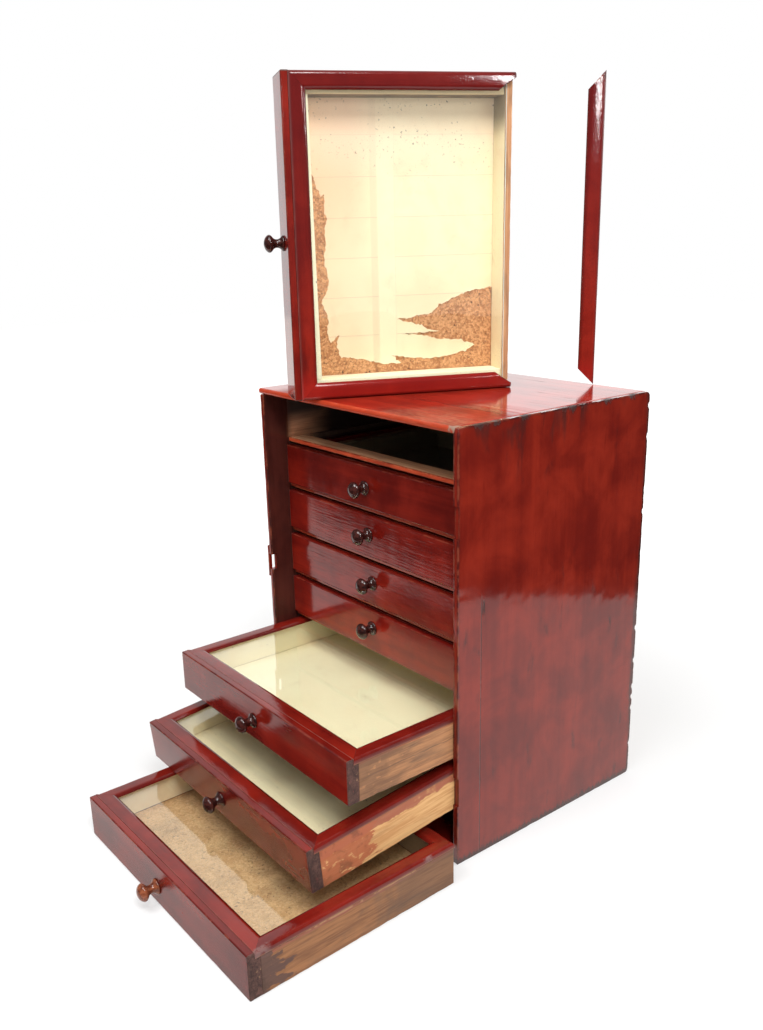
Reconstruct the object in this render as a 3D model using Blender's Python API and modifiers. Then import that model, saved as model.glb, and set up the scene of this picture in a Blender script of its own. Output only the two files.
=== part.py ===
"""Table-top collectors' cabinet: a thin-walled carcase with eight glazed drawers.

The drawers run on dust frames let into the sides. Each drawer has a front board, an open box, a
mitred lid frame over a sheet of glass and a turned knob. The top drawer stands on the cabinet with
its back rail taken off, the next four are shut, two are drawn out and the last is on the floor.

Metres, +Z up, front towards -Y, origin under the middle of the carcase.
"""
from math import atan2, cos, pi, radians, sin

import bmesh
import bpy
from mathutils import Matrix, Vector

# Drawer sizes
DRAWER_WIDTH = 0.2938
DRAWER_DEPTH = 0.2223
DRAWER_HEIGHT = 0.0428
FRONT_THICKNESS = 0.0120
FRONT_LIP = 0.0065
WALL_THICKNESS = 0.0073
BOTTOM_THICKNESS = 0.0040
LINING_THICKNESS = 0.0030
LID_THICKNESS = 0.0055
LID_RAIL_WIDTH = 0.0162
LID_CHAMFER = 0.0022
LID_OVERHANG = 0.0012
GLASS_THICKNESS = 0.0018
GLASS_LAP = 0.0112
GLASS_LAP_BACK = 0.0086

# Knob sizes
KNOB_LENGTH = 0.0190
KNOB_HEAD_RADIUS = 0.0086
KNOB_HEAD_LENGTH = 0.0080
KNOB_NECK_RADIUS = 0.0040
KNOB_BASE_RADIUS = 0.0074
KNOB_BASE_THICKNESS = 0.0016
TENON_RADIUS = 0.0036
TENON_LENGTH = 0.0085

# How far each knob is off the middle of its front, across and above, from the top drawer down
KNOB_SHIFTS = (
    (0.0000, -0.0030),
    (-0.0085, -0.0010),
    (-0.0050, 0.0020),
    (0.0000, 0.0020),
    (-0.0020, 0.0030),
    (-0.0040, -0.0015),
    (-0.0010, -0.0010),
    (-0.0070, -0.0030),
)

# Carcase sizes
DRAWER_COUNT = 8
SIDE_THICKNESS = 0.0060
TOP_THICKNESS = 0.0060
TOP_NOSE = 0.0030
BASE_THICKNESS = 0.0090
BACK_THICKNESS = 0.0060
FRONT_RECESS = 0.0260
TOP_ROOM = 0.0044
FRAME_THICKNESS = 0.0045
FRAME_SETBACK = 0.0043
FRAME_RAIL_WIDTH = 0.0210
FRAME_RUNNER_WIDTH = 0.0065
DADO_DEPTH = 0.0020
MORTISE_HEIGHT = 0.0290
MORTISE_DEPTH = 0.0016
MORTISE_FROM_TOP = 0.0820
MORTISE_FROM_BASE = 0.0770
KEEPER_LENGTH = 0.0360
KEEPER_WIDTH = 0.0040
KEEPER_THICKNESS = 0.0026
KEEPER_FROM_TOP = 0.1940
KEEPER_SLOT_HEIGHT = 0.0200
KEEPER_SLOT_DEPTH = 0.0085

# Clearances
GAP = 0.0003
SIDE_PLAY = 0.0005
SLOT_PLAY = 0.0033
BACK_PLAY = 0.0010

# Where the drawers and the loose rail are
OPEN_DRAWER_6 = 0.1457
DRAWER_8_LEAD = 0.0220
DRAWER_8_SHIFT = 0.0237
DRAWER_8_YAW = radians(1.05)
STAND_SHIFT = -0.0517
STAND_OVERHANG = 0.0224
STAND_YAW = radians(65.9)
RAIL_SHIFT = 0.0890
RAIL_FROM_BACK = 0.0065
RAIL_YAW = radians(45.0)

# The drawers whose linings show at rest
LINED_DRAWERS = (1, 6, 7, 8)

# Edge softening
BOARD_ROUND = 0.0016
NOSE_ROUND = 0.0024
FRONT_ROUND = 0.0014
LID_ROUND = 0.0006
ROUND_SEGMENTS = 2

# Sizes that follow from those above
PITCH = DRAWER_HEIGHT + SLOT_PLAY + FRAME_THICKNESS
INNER_WIDTH = DRAWER_WIDTH + 2 * SIDE_PLAY
CABINET_WIDTH = INNER_WIDTH + 2 * SIDE_THICKNESS
CABINET_DEPTH = FRONT_RECESS + DRAWER_DEPTH + BACK_PLAY + BACK_THICKNESS
TOP_SLOT_FLOOR = BASE_THICKNESS + (DRAWER_COUNT - 1) * PITCH
TOP_UNDERSIDE = TOP_SLOT_FLOOR + DRAWER_HEIGHT + SLOT_PLAY + TOP_ROOM
CABINET_HEIGHT = TOP_UNDERSIDE + TOP_THICKNESS
FRONT_PLANE = -CABINET_DEPTH / 2
BACK_PLANE = CABINET_DEPTH / 2
SHUT_FRONT = FRONT_PLANE + FRONT_RECESS
FRAME_FRONT = SHUT_FRONT + FRAME_SETBACK
BACK_INSIDE = BACK_PLANE - BACK_THICKNESS
LID_UNDERSIDE = DRAWER_HEIGHT - LID_THICKNESS
WALL_TOP = LID_UNDERSIDE - GAP
HALF_DRAWER = DRAWER_WIDTH / 2

# Colours, as linear red, green and blue
SHELLAC_RED = (0.215, 0.016, 0.012)
EDGE_RED = (0.330, 0.040, 0.022)
BARE_PINE = (0.480, 0.240, 0.095)
FRAME_PINE = (0.420, 0.220, 0.110)
LINING_CREAM = (0.800, 0.690, 0.470)
CORK_BROWN = (0.480, 0.220, 0.085)
KNOB_BROWN = (0.160, 0.022, 0.014)
GLASS_CLEAR = (0.900, 0.930, 0.900)


class Finish:
    """A named Principled material, made once and shared by the pieces that have it."""

    def __init__(self, name, colour, roughness, transmission=0.0):
        self.material = bpy.data.materials.new(name)
        self.material.use_nodes = True
        shader = self.material.node_tree.nodes["Principled BSDF"]
        shader.inputs["Base Color"].default_value = (*colour, 1.0)
        shader.inputs["Roughness"].default_value = roughness
        shader.inputs["Metallic"].default_value = 0.0
        shader.inputs["Transmission Weight"].default_value = transmission


class Workshop:
    """Holds the two collections and makes the pieces, their cuts and their parent empties."""

    def __init__(self):
        scene = bpy.context.scene.collection
        self.parts = bpy.data.collections.new("collectors_cabinet")
        self.cutters = bpy.data.collections.new("cutters")
        scene.children.link(self.parts)
        scene.children.link(self.cutters)

    def empty(self, name, location, rotation=(0.0, 0.0, 0.0)):
        """Adds an empty that carries the pieces of one moving body."""
        carrier = bpy.data.objects.new(name, None)
        carrier.location = location
        carrier.rotation_euler = rotation
        self.parts.objects.link(carrier)
        return carrier

    def piece(self, name, bm, finish, parent=None):
        """Turns a bmesh into a named piece with its own finish."""
        mesh = bpy.data.meshes.new(name)
        bm.to_mesh(mesh)
        bm.free()
        mesh.materials.append(finish.material)
        obj = bpy.data.objects.new(name, mesh)
        obj.parent = parent
        self.parts.objects.link(obj)
        return obj

    def cut(self, target, name, bm, operation="DIFFERENCE"):
        """Cuts a piece with a bmesh that is placed in the same frame as the piece."""
        mesh = bpy.data.meshes.new(name)
        bm.to_mesh(mesh)
        bm.free()
        cutter = bpy.data.objects.new(name, mesh)
        cutter.parent = target.parent
        cutter.hide_render = True
        cutter.display_type = "WIRE"
        self.cutters.objects.link(cutter)
        modifier = target.modifiers.new(name, "BOOLEAN")
        modifier.operation = operation
        modifier.object = cutter
        modifier.solver = "EXACT"


def block(low, high, flare=0.0):
    """Makes a box between two corners, its top face wider by the flare on every side."""
    low, high = Vector(low), Vector(high)
    bm = bmesh.new()
    bmesh.ops.create_cube(bm, size=1.0)
    bmesh.ops.scale(bm, vec=high - low, verts=bm.verts)
    bmesh.ops.translate(bm, vec=(low + high) / 2, verts=bm.verts)
    if flare:
        middle = (low + high) / 2
        for vert in bm.verts:
            if vert.co.z > middle.z:
                vert.co.x += flare if vert.co.x > middle.x else -flare
                vert.co.y += flare if vert.co.y > middle.y else -flare
    return bm


def soften(obj, width):
    """Rounds the edges of a piece, before any cut is made in it."""
    bevel = obj.modifiers.new("rounded_edges", "BEVEL")
    bevel.width = width
    bevel.segments = ROUND_SEGMENTS
    bevel.limit_method = "ANGLE"


def slot_floor(number):
    """Height of the surface that drawer `number` runs on, counted from 1 at the top."""
    return BASE_THICKNESS + (DRAWER_COUNT - number) * PITCH


def build_side(shop, name, direction, height, finish):
    """A side board with the dadoes for the dust frames on its inner face."""
    inner = direction * INNER_WIDTH / 2
    outer = direction * CABINET_WIDTH / 2
    low = (min(inner, outer), FRONT_PLANE, 0.0)
    high = (max(inner, outer), BACK_PLANE, height)
    side = shop.piece(name, block(low, high), finish)
    soften(side, BOARD_ROUND)
    bottom_of_dado = inner + direction * DADO_DEPTH
    mouth = inner - direction * DADO_DEPTH
    for number in range(1, DRAWER_COUNT):
        floor = slot_floor(number)
        groove = block(
            (min(mouth, bottom_of_dado), FRAME_FRONT - GAP, floor - FRAME_THICKNESS - GAP),
            (max(mouth, bottom_of_dado), BACK_INSIDE, floor + GAP),
        )
        shop.cut(side, f"{name}_dado_{number}", groove)
    return side


def build_carcase(shop, finishes):
    """The boards, the hinge mortises, the lock keeper and the seven dust frames."""
    red, edge, pine = finishes["shellac"], finishes["edge"], finishes["frame"]
    half = CABINET_WIDTH / 2
    inside = INNER_WIDTH / 2 - GAP

    top_end = INNER_WIDTH / 2 + DADO_DEPTH
    top = shop.piece(
        "top_board",
        block(
            (-half - TOP_NOSE, FRONT_PLANE, TOP_UNDERSIDE),
            (top_end - GAP, BACK_PLANE, CABINET_HEIGHT),
        ),
        red,
    )
    soften(top, NOSE_ROUND)
    base = shop.piece(
        "bottom_board",
        block((-inside, FRONT_PLANE, 0.0), (inside, BACK_INSIDE - GAP, BASE_THICKNESS)),
        red,
    )
    soften(base, BOARD_ROUND)
    shop.piece(
        "back_board",
        block((-inside, BACK_INSIDE, 0.0), (inside, BACK_PLANE, TOP_UNDERSIDE - GAP)),
        pine,
    )

    left = build_side(shop, "left_side", -1, TOP_UNDERSIDE - GAP, red)
    right = build_side(shop, "right_side", 1, CABINET_HEIGHT, red)
    rebate = block(
        (0.0, 2 * FRONT_PLANE, TOP_UNDERSIDE - GAP),
        (top_end, 2 * BACK_PLANE, 2 * CABINET_HEIGHT),
    )
    shop.cut(right, "right_side_rebate", rebate)
    mortise_heights = (CABINET_HEIGHT - MORTISE_FROM_TOP, MORTISE_FROM_BASE)
    for number, height in enumerate(mortise_heights, start=1):
        mortise = block(
            (INNER_WIDTH / 2 - GAP, FRONT_PLANE - MORTISE_DEPTH, height - MORTISE_HEIGHT / 2),
            (half + GAP, FRONT_PLANE + MORTISE_DEPTH, height + MORTISE_HEIGHT / 2),
        )
        shop.cut(right, f"hinge_mortise_{number}", mortise)

    keeper_middle = CABINET_HEIGHT - KEEPER_FROM_TOP
    slot = block(
        (-half - GAP, FRONT_PLANE - KEEPER_SLOT_DEPTH, keeper_middle - KEEPER_SLOT_HEIGHT / 2),
        (-INNER_WIDTH / 2 + GAP, FRONT_PLANE + KEEPER_SLOT_DEPTH, keeper_middle + KEEPER_SLOT_HEIGHT / 2),
    )
    shop.cut(left, "keeper_slot", slot)
    keeper = shop.piece(
        "door_keeper",
        block(
            (-half - GAP - KEEPER_THICKNESS, FRONT_PLANE, keeper_middle - KEEPER_LENGTH / 2),
            (-half - GAP, FRONT_PLANE + KEEPER_WIDTH, keeper_middle + KEEPER_LENGTH / 2),
        ),
        edge,
    )
    soften(keeper, KEEPER_THICKNESS / 3)

    reach = INNER_WIDTH / 2 + DADO_DEPTH - GAP
    open_half = INNER_WIDTH / 2 - FRAME_RUNNER_WIDTH
    for number in range(1, DRAWER_COUNT):
        floor = slot_floor(number)
        frame = shop.piece(
            f"dust_frame_{number}",
            block((-reach, FRAME_FRONT, floor - FRAME_THICKNESS), (reach, BACK_INSIDE - GAP, floor)),
            pine,
        )
        hole = block(
            (-open_half, FRAME_FRONT + FRAME_RAIL_WIDTH, floor - 2 * FRAME_THICKNESS),
            (open_half, BACK_INSIDE - GAP - FRAME_RAIL_WIDTH, floor + FRAME_THICKNESS),
        )
        shop.cut(frame, f"dust_frame_{number}_hole", hole)


def knob_profile():
    """Radius and distance from the drawer's face, from the head's crown down to the tenon."""
    head_middle = KNOB_LENGTH - KNOB_HEAD_LENGTH / 2
    points = []
    for step in range(7):
        angle = radians(90 - 24 * step)
        points.append((KNOB_HEAD_RADIUS * cos(angle), head_middle + KNOB_HEAD_LENGTH / 2 * sin(angle)))
    head_radius, head_end = points[-1]
    steps = 6
    for step in range(1, steps + 1):
        along = step / steps
        bow = (2 * along - 1) ** 2
        end_radius = head_radius if along < 0.5 else KNOB_BASE_RADIUS
        radius = KNOB_NECK_RADIUS + (end_radius - KNOB_NECK_RADIUS) * bow
        points.append((radius, head_end + (KNOB_BASE_THICKNESS - head_end) * along))
    points.append((KNOB_BASE_RADIUS, GAP))
    points.append((TENON_RADIUS, GAP))
    points.append((TENON_RADIUS, -TENON_LENGTH))
    points.append((0.0, -TENON_LENGTH))
    return points


def build_knob(shop, name, place, finish, parent):
    """A turned knob whose tenon sits in the front board."""
    bm = bmesh.new()
    verts = [bm.verts.new((radius, 0.0, height)) for radius, height in knob_profile()]
    for upper, lower in zip(verts, verts[1:]):
        bm.edges.new((upper, lower))
    knob = shop.piece(name, bm, finish, parent)
    knob.location = place
    knob.rotation_euler = (pi / 2, 0.0, 0.0)
    turn = knob.modifiers.new("turned", "SCREW")
    turn.steps = turn.render_steps = 20
    turn.use_merge_vertices = True
    turn.merge_threshold = 0.00001
    turn.use_smooth_shade = True
    return knob


def build_front(shop, name, place, finish, parent):
    """The front board, rebated behind its top edge for the lid and bored for the knob."""
    front = shop.piece(
        name,
        block((-HALF_DRAWER, 0.0, 0.0), (HALF_DRAWER, FRONT_THICKNESS, DRAWER_HEIGHT)),
        finish,
        parent,
    )
    soften(front, FRONT_ROUND)
    rebate = block(
        (-DRAWER_WIDTH, FRONT_LIP, LID_UNDERSIDE - GAP),
        (DRAWER_WIDTH, 2 * FRONT_THICKNESS, 2 * DRAWER_HEIGHT),
    )
    shop.cut(front, f"{name}_rebate", rebate)
    bore = bmesh.new()
    bmesh.ops.create_cone(
        bore,
        cap_ends=True,
        segments=20,
        radius1=TENON_RADIUS + GAP,
        radius2=TENON_RADIUS + GAP,
        depth=2 * (TENON_LENGTH + GAP),
    )
    bmesh.ops.rotate(bore, verts=bore.verts, matrix=Matrix.Rotation(pi / 2, 3, "X"))
    bmesh.ops.translate(bore, vec=place, verts=bore.verts)
    shop.cut(front, f"{name}_bore", bore)
    return front


def build_box(shop, name, finish, parent):
    """Sides, back and bottom, open at the top and towards the front board."""
    inside = HALF_DRAWER - WALL_THICKNESS
    back = DRAWER_DEPTH - LID_OVERHANG
    box = shop.piece(
        name,
        block((-HALF_DRAWER, FRONT_THICKNESS + GAP, 0.0), (HALF_DRAWER, back, WALL_TOP)),
        finish,
        parent,
    )
    hollow = block(
        (-inside, 0.0, BOTTOM_THICKNESS),
        (inside, back - WALL_THICKNESS, 2 * DRAWER_HEIGHT),
    )
    shop.cut(box, f"{name}_hollow", hollow)
    return box


def build_lining(shop, name, finish, parent):
    """The cork sheet that covers the bottom of the box."""
    inside = HALF_DRAWER - WALL_THICKNESS - GAP
    low = (-inside, FRONT_THICKNESS + GAP, BOTTOM_THICKNESS + GAP)
    back = DRAWER_DEPTH - LID_OVERHANG - WALL_THICKNESS - GAP
    high = (inside, back, BOTTOM_THICKNESS + GAP + LINING_THICKNESS)
    return shop.piece(name, block(low, high), finish, parent)


def glass_sheet(clearance, run_out=0.0):
    """The space of the glass, or of the rebate that it lies in, inside the lid.

    `run_out` lengthens the rebate towards the back, so that the glass can slide out there.
    """
    side = HALF_DRAWER - LID_RAIL_WIDTH + GLASS_LAP + clearance
    front = FRONT_LIP + GAP + LID_RAIL_WIDTH - GLASS_LAP - clearance
    back = DRAWER_DEPTH - LID_RAIL_WIDTH + GLASS_LAP_BACK + clearance + run_out
    floor = LID_UNDERSIDE - (LID_THICKNESS if clearance else 0.0)
    return block((-side, front, floor), (side, back, LID_UNDERSIDE + GLASS_THICKNESS + clearance))


def mitre_wedge():
    """A square prism stood on edge: its corners meet the outer back corners of the lid."""
    bm = bmesh.new()
    bmesh.ops.create_cone(
        bm,
        cap_ends=True,
        segments=4,
        radius1=HALF_DRAWER,
        radius2=HALF_DRAWER,
        depth=4 * LID_THICKNESS,
    )
    bmesh.ops.translate(bm, vec=(0.0, DRAWER_DEPTH, LID_UNDERSIDE), verts=bm.verts)
    return bm


def build_lid(shop, name, finish, parent, mitre=None):
    """The lid frame with its chamfered sight edge and glass rebate.

    `mitre` takes the back rail off with DIFFERENCE, or keeps that rail alone with INTERSECT.
    """
    sight_side = HALF_DRAWER - LID_RAIL_WIDTH
    sight_front = FRONT_LIP + GAP + LID_RAIL_WIDTH
    sight_back = DRAWER_DEPTH - LID_RAIL_WIDTH
    lid = shop.piece(
        name,
        block((-HALF_DRAWER, FRONT_LIP + GAP, LID_UNDERSIDE), (HALF_DRAWER, DRAWER_DEPTH, DRAWER_HEIGHT)),
        finish,
        parent,
    )
    soften(lid, LID_ROUND)
    sight = block(
        (-sight_side, sight_front, LID_UNDERSIDE - LID_THICKNESS),
        (sight_side, sight_back, DRAWER_HEIGHT + LID_THICKNESS),
    )
    chamfer = block(
        (-sight_side, sight_front, DRAWER_HEIGHT - LID_CHAMFER),
        (sight_side, sight_back, DRAWER_HEIGHT + LID_CHAMFER),
        flare=2 * LID_CHAMFER,
    )
    shop.cut(lid, f"{name}_sight", sight)
    shop.cut(lid, f"{name}_chamfer", chamfer)
    run_out = LID_RAIL_WIDTH if mitre == "DIFFERENCE" else 0.0
    shop.cut(lid, f"{name}_rebate", glass_sheet(GAP, run_out))
    if mitre:
        shop.cut(lid, f"{name}_mitre", mitre_wedge(), mitre)
    return lid


def drawer_place(number):
    """Where the front bottom middle of a drawer is, and how the drawer is turned."""
    height = slot_floor(number) + GAP
    if number == 1:
        along = Vector((cos(STAND_YAW), sin(STAND_YAW), 0.0))
        facing = Vector((along.y, -along.x, 0.0))
        corner = Vector((STAND_SHIFT, FRONT_PLANE - STAND_OVERHANG, CABINET_HEIGHT + GAP))
        middle = corner + Vector((0.0, 0.0, HALF_DRAWER)) - facing * DRAWER_HEIGHT
        return middle, (0.0, pi / 2, STAND_YAW - pi / 2)
    if number == 6:
        return Vector((0.0, SHUT_FRONT - OPEN_DRAWER_6, height)), (0.0, 0.0, 0.0)
    if number == 7:
        drop = slot_floor(7) - DRAWER_HEIGHT
        rise = SLOT_PLAY - 2 * GAP
        held = rise * DRAWER_DEPTH / (drop + rise)
        tilt = atan2(drop, DRAWER_DEPTH - held)
        front = FRAME_FRONT - (DRAWER_DEPTH - held) * cos(tilt)
        return Vector((0.0, front, DRAWER_HEIGHT + GAP)), (tilt, 0.0, 0.0)
    if number == 8:
        back_middle = Vector((DRAWER_8_SHIFT, FRONT_PLANE - DRAWER_8_LEAD, 0.0))
        depth = Vector((-sin(DRAWER_8_YAW), cos(DRAWER_8_YAW), 0.0)) * DRAWER_DEPTH
        return back_middle - depth, (0.0, 0.0, DRAWER_8_YAW)
    return Vector((0.0, SHUT_FRONT, height)), (0.0, 0.0, 0.0)


def build_drawer(shop, number, finishes):
    """One drawer, hung on an empty at the middle of its front's lower edge."""
    location, rotation = drawer_place(number)
    carrier = shop.empty(f"drawer_{number}", location, rotation)
    across, above = KNOB_SHIFTS[number - 1]
    knob_place = (across, 0.0, DRAWER_HEIGHT / 2 + above)
    build_front(shop, f"drawer_{number}_front", knob_place, finishes["shellac"], carrier)
    build_box(shop, f"drawer_{number}_box", finishes["pine"], carrier)
    without_back = "DIFFERENCE" if number == 1 else None
    build_lid(shop, f"drawer_{number}_lid", finishes["shellac"], carrier, without_back)
    shop.piece(f"drawer_{number}_glass", glass_sheet(0.0), finishes["glass"], carrier)
    build_knob(shop, f"drawer_{number}_knob", knob_place, finishes["knob"], carrier)
    if number in LINED_DRAWERS:
        lining = finishes["cork"] if number == DRAWER_COUNT else finishes["cream"]
        build_lining(shop, f"drawer_{number}_lining", lining, carrier)


def build_loose_rail(shop, finishes):
    """The top drawer's back rail, stood on the point of its mitre near the back of the top."""
    along = Vector((cos(RAIL_YAW), sin(RAIL_YAW), 0.0))
    facing = Vector((along.y, -along.x, 0.0))
    foot = Vector((RAIL_SHIFT, BACK_PLANE - RAIL_FROM_BACK, CABINET_HEIGHT + GAP))
    origin = foot + Vector((0.0, 0.0, HALF_DRAWER)) - along * DRAWER_DEPTH - facing * DRAWER_HEIGHT
    carrier = shop.empty("loose_rail", origin, (0.0, pi / 2, RAIL_YAW - pi / 2))
    build_lid(shop, "drawer_1_back_rail", finishes["shellac"], carrier, "INTERSECT")


def main():
    """Clears the scene and builds the cabinet."""
    for obj in list(bpy.data.objects):
        bpy.data.objects.remove(obj, do_unlink=True)
    finishes = {
        "shellac": Finish("red_shellac", SHELLAC_RED, 0.18),
        "edge": Finish("red_edge", EDGE_RED, 0.35),
        "pine": Finish("bare_pine", BARE_PINE, 0.65),
        "frame": Finish("frame_pine", FRAME_PINE, 0.60),
        "cream": Finish("cream_paper", LINING_CREAM, 0.85),
        "cork": Finish("cork_sheet", CORK_BROWN, 0.90),
        "knob": Finish("dark_shellac", KNOB_BROWN, 0.15),
        "glass": Finish("old_glass", GLASS_CLEAR, 0.02, transmission=1.0),
    }
    shop = Workshop()
    build_carcase(shop, finishes)
    for number in range(1, DRAWER_COUNT + 1):
        build_drawer(shop, number, finishes)
    build_loose_rail(shop, finishes)


main()
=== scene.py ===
"""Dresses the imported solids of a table-top collectors' cabinet.

Each sub-assembly is a class that holds its sizes, in metres, and builds its meshes in the frame of
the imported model. The finishes are procedural: shellac on red-stained wood, bare pine, cork, paper,
polished turnings and old sheet glass. The studio is a white sheet in a dim room.
"""

import logging
import math
from dataclasses import dataclass, replace
from enum import Enum
from typing import Any, Callable, Sequence

import bmesh
import bpy
from mathutils import Euler, Matrix, Vector, noise


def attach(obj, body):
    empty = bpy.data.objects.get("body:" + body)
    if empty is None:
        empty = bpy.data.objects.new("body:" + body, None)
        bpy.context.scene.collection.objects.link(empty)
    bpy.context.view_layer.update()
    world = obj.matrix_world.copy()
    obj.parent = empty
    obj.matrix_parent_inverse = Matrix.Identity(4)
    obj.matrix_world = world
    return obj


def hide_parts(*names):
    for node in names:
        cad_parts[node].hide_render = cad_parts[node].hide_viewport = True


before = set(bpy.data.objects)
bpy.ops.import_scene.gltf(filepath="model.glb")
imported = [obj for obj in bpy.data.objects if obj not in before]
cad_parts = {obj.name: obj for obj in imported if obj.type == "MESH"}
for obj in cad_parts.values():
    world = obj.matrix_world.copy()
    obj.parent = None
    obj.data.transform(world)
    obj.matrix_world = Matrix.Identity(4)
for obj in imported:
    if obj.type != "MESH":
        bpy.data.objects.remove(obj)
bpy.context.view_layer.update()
LOG = logging.getLogger("cabinet")

Pair = tuple[float, float]
Point = tuple[float, float, float]
Colour = tuple[float, float, float]
Box = tuple[Point, Point]
Mesh = bmesh.types.BMesh

EVEN = (1.0, 1.0, 1.0)
TINY = 0.00001
HAIR = 0.00005
SHARP_ANGLE = math.radians(42.0)


class Grain(Enum):
    """The axis of a piece's own frame that the grain runs along."""

    ACROSS = 0
    DEEP = 1
    UPRIGHT = 2

    def drawn_out(self, along: float) -> Point:
        """Factors for the axes that draw a pattern out along the grain."""
        return tuple(along if axis == self.value else 1.0 for axis in range(3))


class Lining(Enum):
    """What covers the bottom of a drawer."""

    TORN_PAPER = "torn paper"
    PAPER = "paper"
    CORK = "cork"


@dataclass(frozen=True)
class Place:
    """Where a drawer stands: the foot of its front's middle, and its turn."""

    location: Point = (0.0, 0.0, 0.0)
    turn: Point = (0.0, 0.0, 0.0)

    @property
    def matrix(self) -> Matrix:
        """The move from the drawer's own frame to the cabinet's."""
        return Matrix.Translation(self.location) @ Euler(self.turn).to_matrix().to_4x4()


class Sock:
    """An output socket that takes part in Python expressions as a number or a colour."""

    def __init__(self, tree: "Tree", socket: bpy.types.NodeSocket) -> None:
        """Keeps the socket and the tree that it belongs to."""
        self.tree = tree
        self.socket = socket

    def math(self, operation: str, first: Any, second: Any = 0.0) -> "Sock":
        """One Math node on two numbers or sockets."""
        return self.tree.node("ShaderNodeMath", {0: first, 1: second}, operation=operation)

    def __add__(self, other: Any) -> "Sock":
        """The sum."""
        return self.math("ADD", self, other)

    def __radd__(self, other: Any) -> "Sock":
        """The sum, from the right."""
        return self.math("ADD", other, self)

    def __sub__(self, other: Any) -> "Sock":
        """The difference."""
        return self.math("SUBTRACT", self, other)

    def __rsub__(self, other: Any) -> "Sock":
        """The difference, from the right."""
        return self.math("SUBTRACT", other, self)

    def __mul__(self, other: Any) -> "Sock":
        """The product."""
        return self.math("MULTIPLY", self, other)

    def least(self, other: Any) -> "Sock":
        """The lower of the two."""
        return self.math("MINIMUM", self, other)

    def most(self, other: Any) -> "Sock":
        """The higher of the two."""
        return self.math("MAXIMUM", self, other)

    def size(self) -> "Sock":
        """The number without its sign."""
        return self.math("ABSOLUTE", self)

    def cycle(self, period: float) -> "Sock":
        """The distance to the nearest multiple of the period."""
        return self.math("PINGPONG", self, period / 2)

    def wander(self, width: float) -> "Sock":
        """A noise about 0.5 turned into a drift about 0, over a width."""
        return (self - 0.5) * width

    def rise(self, start: float, end: float) -> "Sock":
        """A smooth step from 0 at start to 1 at end."""
        inputs = {0: self, 1: start, 2: end, 3: 0.0, 4: 1.0}
        return self.tree.node("ShaderNodeMapRange", inputs, interpolation_type="SMOOTHSTEP")

    def near(self, spot: float, far: float, close: float) -> "Sock":
        """A smooth step from 0 at a far distance from a spot to 1 at a close one."""
        return (self - spot).size().rise(far, close)

    def tint(self, share: Any, colour: Any) -> "Sock":
        """This colour with a share of another."""
        return self.tree.blend(share, self, colour)


class Tree:
    """The nodes of one material or of the world."""

    def __init__(self, tree: bpy.types.NodeTree) -> None:
        """Empties the tree."""
        self.tree = tree
        tree.nodes.clear()

    def node(self, kind: str, inputs: dict[int | str, Any], output: int | str = 0, **settings: Any) -> Sock:
        """Adds one node.

        Args:
            kind: the node's type.
            inputs: values or sockets, by the input's name or number.
            output: the output that is wanted.
            settings: the node's own properties, set first.

        Returns:
            The wanted output.
        """
        made = self.tree.nodes.new(kind)
        for key, value in settings.items():
            setattr(made, key, value)
        for key, value in inputs.items():
            socket = made.inputs[key]
            if isinstance(value, Sock):
                self.tree.links.new(value.socket, socket)
            elif socket.type == "RGBA" and len(value) == 3:
                socket.default_value = (*value, 1.0)
            else:
                socket.default_value = value
        return Sock(self, made.outputs[output])

    def vector(self, operation: str, first: Any, second: Any, output: int | str = 0) -> Sock:
        """One Vector Math node on two vectors."""
        return self.node("ShaderNodeVectorMath", {0: first, 1: second}, output, operation=operation)

    def blend(self, share: Any, first: Any, second: Any) -> Sock:
        """A colour between two others."""
        return self.node("ShaderNodeMix", {0: share, 6: first, 7: second}, 2, data_type="RGBA")

    def path(self, output: str) -> Sock:
        """One of the facts about the light's path."""
        return self.node("ShaderNodeLightPath", {}, output)

    def shown(self, share: Any, first: Sock, second: Sock) -> Sock:
        """A shader between two others."""
        return self.node("ShaderNodeMixShader", {0: share, 1: first, 2: second})

    def end(self, kind: str, shader: Sock) -> None:
        """Links the shader to an output node."""
        self.tree.links.new(shader.socket, self.tree.nodes.new(kind).inputs["Surface"])


@dataclass(frozen=True)
class Layer:
    """One finish over a surface: its colour, its roughness and its relief in metres."""

    colour: Sock
    roughness: Sock
    relief: Sock

    def tint(self, share: Any, colour: Any) -> "Layer":
        """The same finish with a share of a colour."""
        return replace(self, colour=self.colour.tint(share, colour))

    def under(self, share: Sock, top: "Layer") -> "Layer":
        """This finish with another laid over it.

        Args:
            share: how much of the upper finish covers this one.
            top: the upper finish.

        Returns:
            Both in one.
        """
        roughness = self.roughness * (1.0 - share) + top.roughness * share
        relief = self.relief * (1.0 - share) + top.relief * share
        return Layer(self.colour.tint(share, top.colour), roughness, relief)


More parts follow.
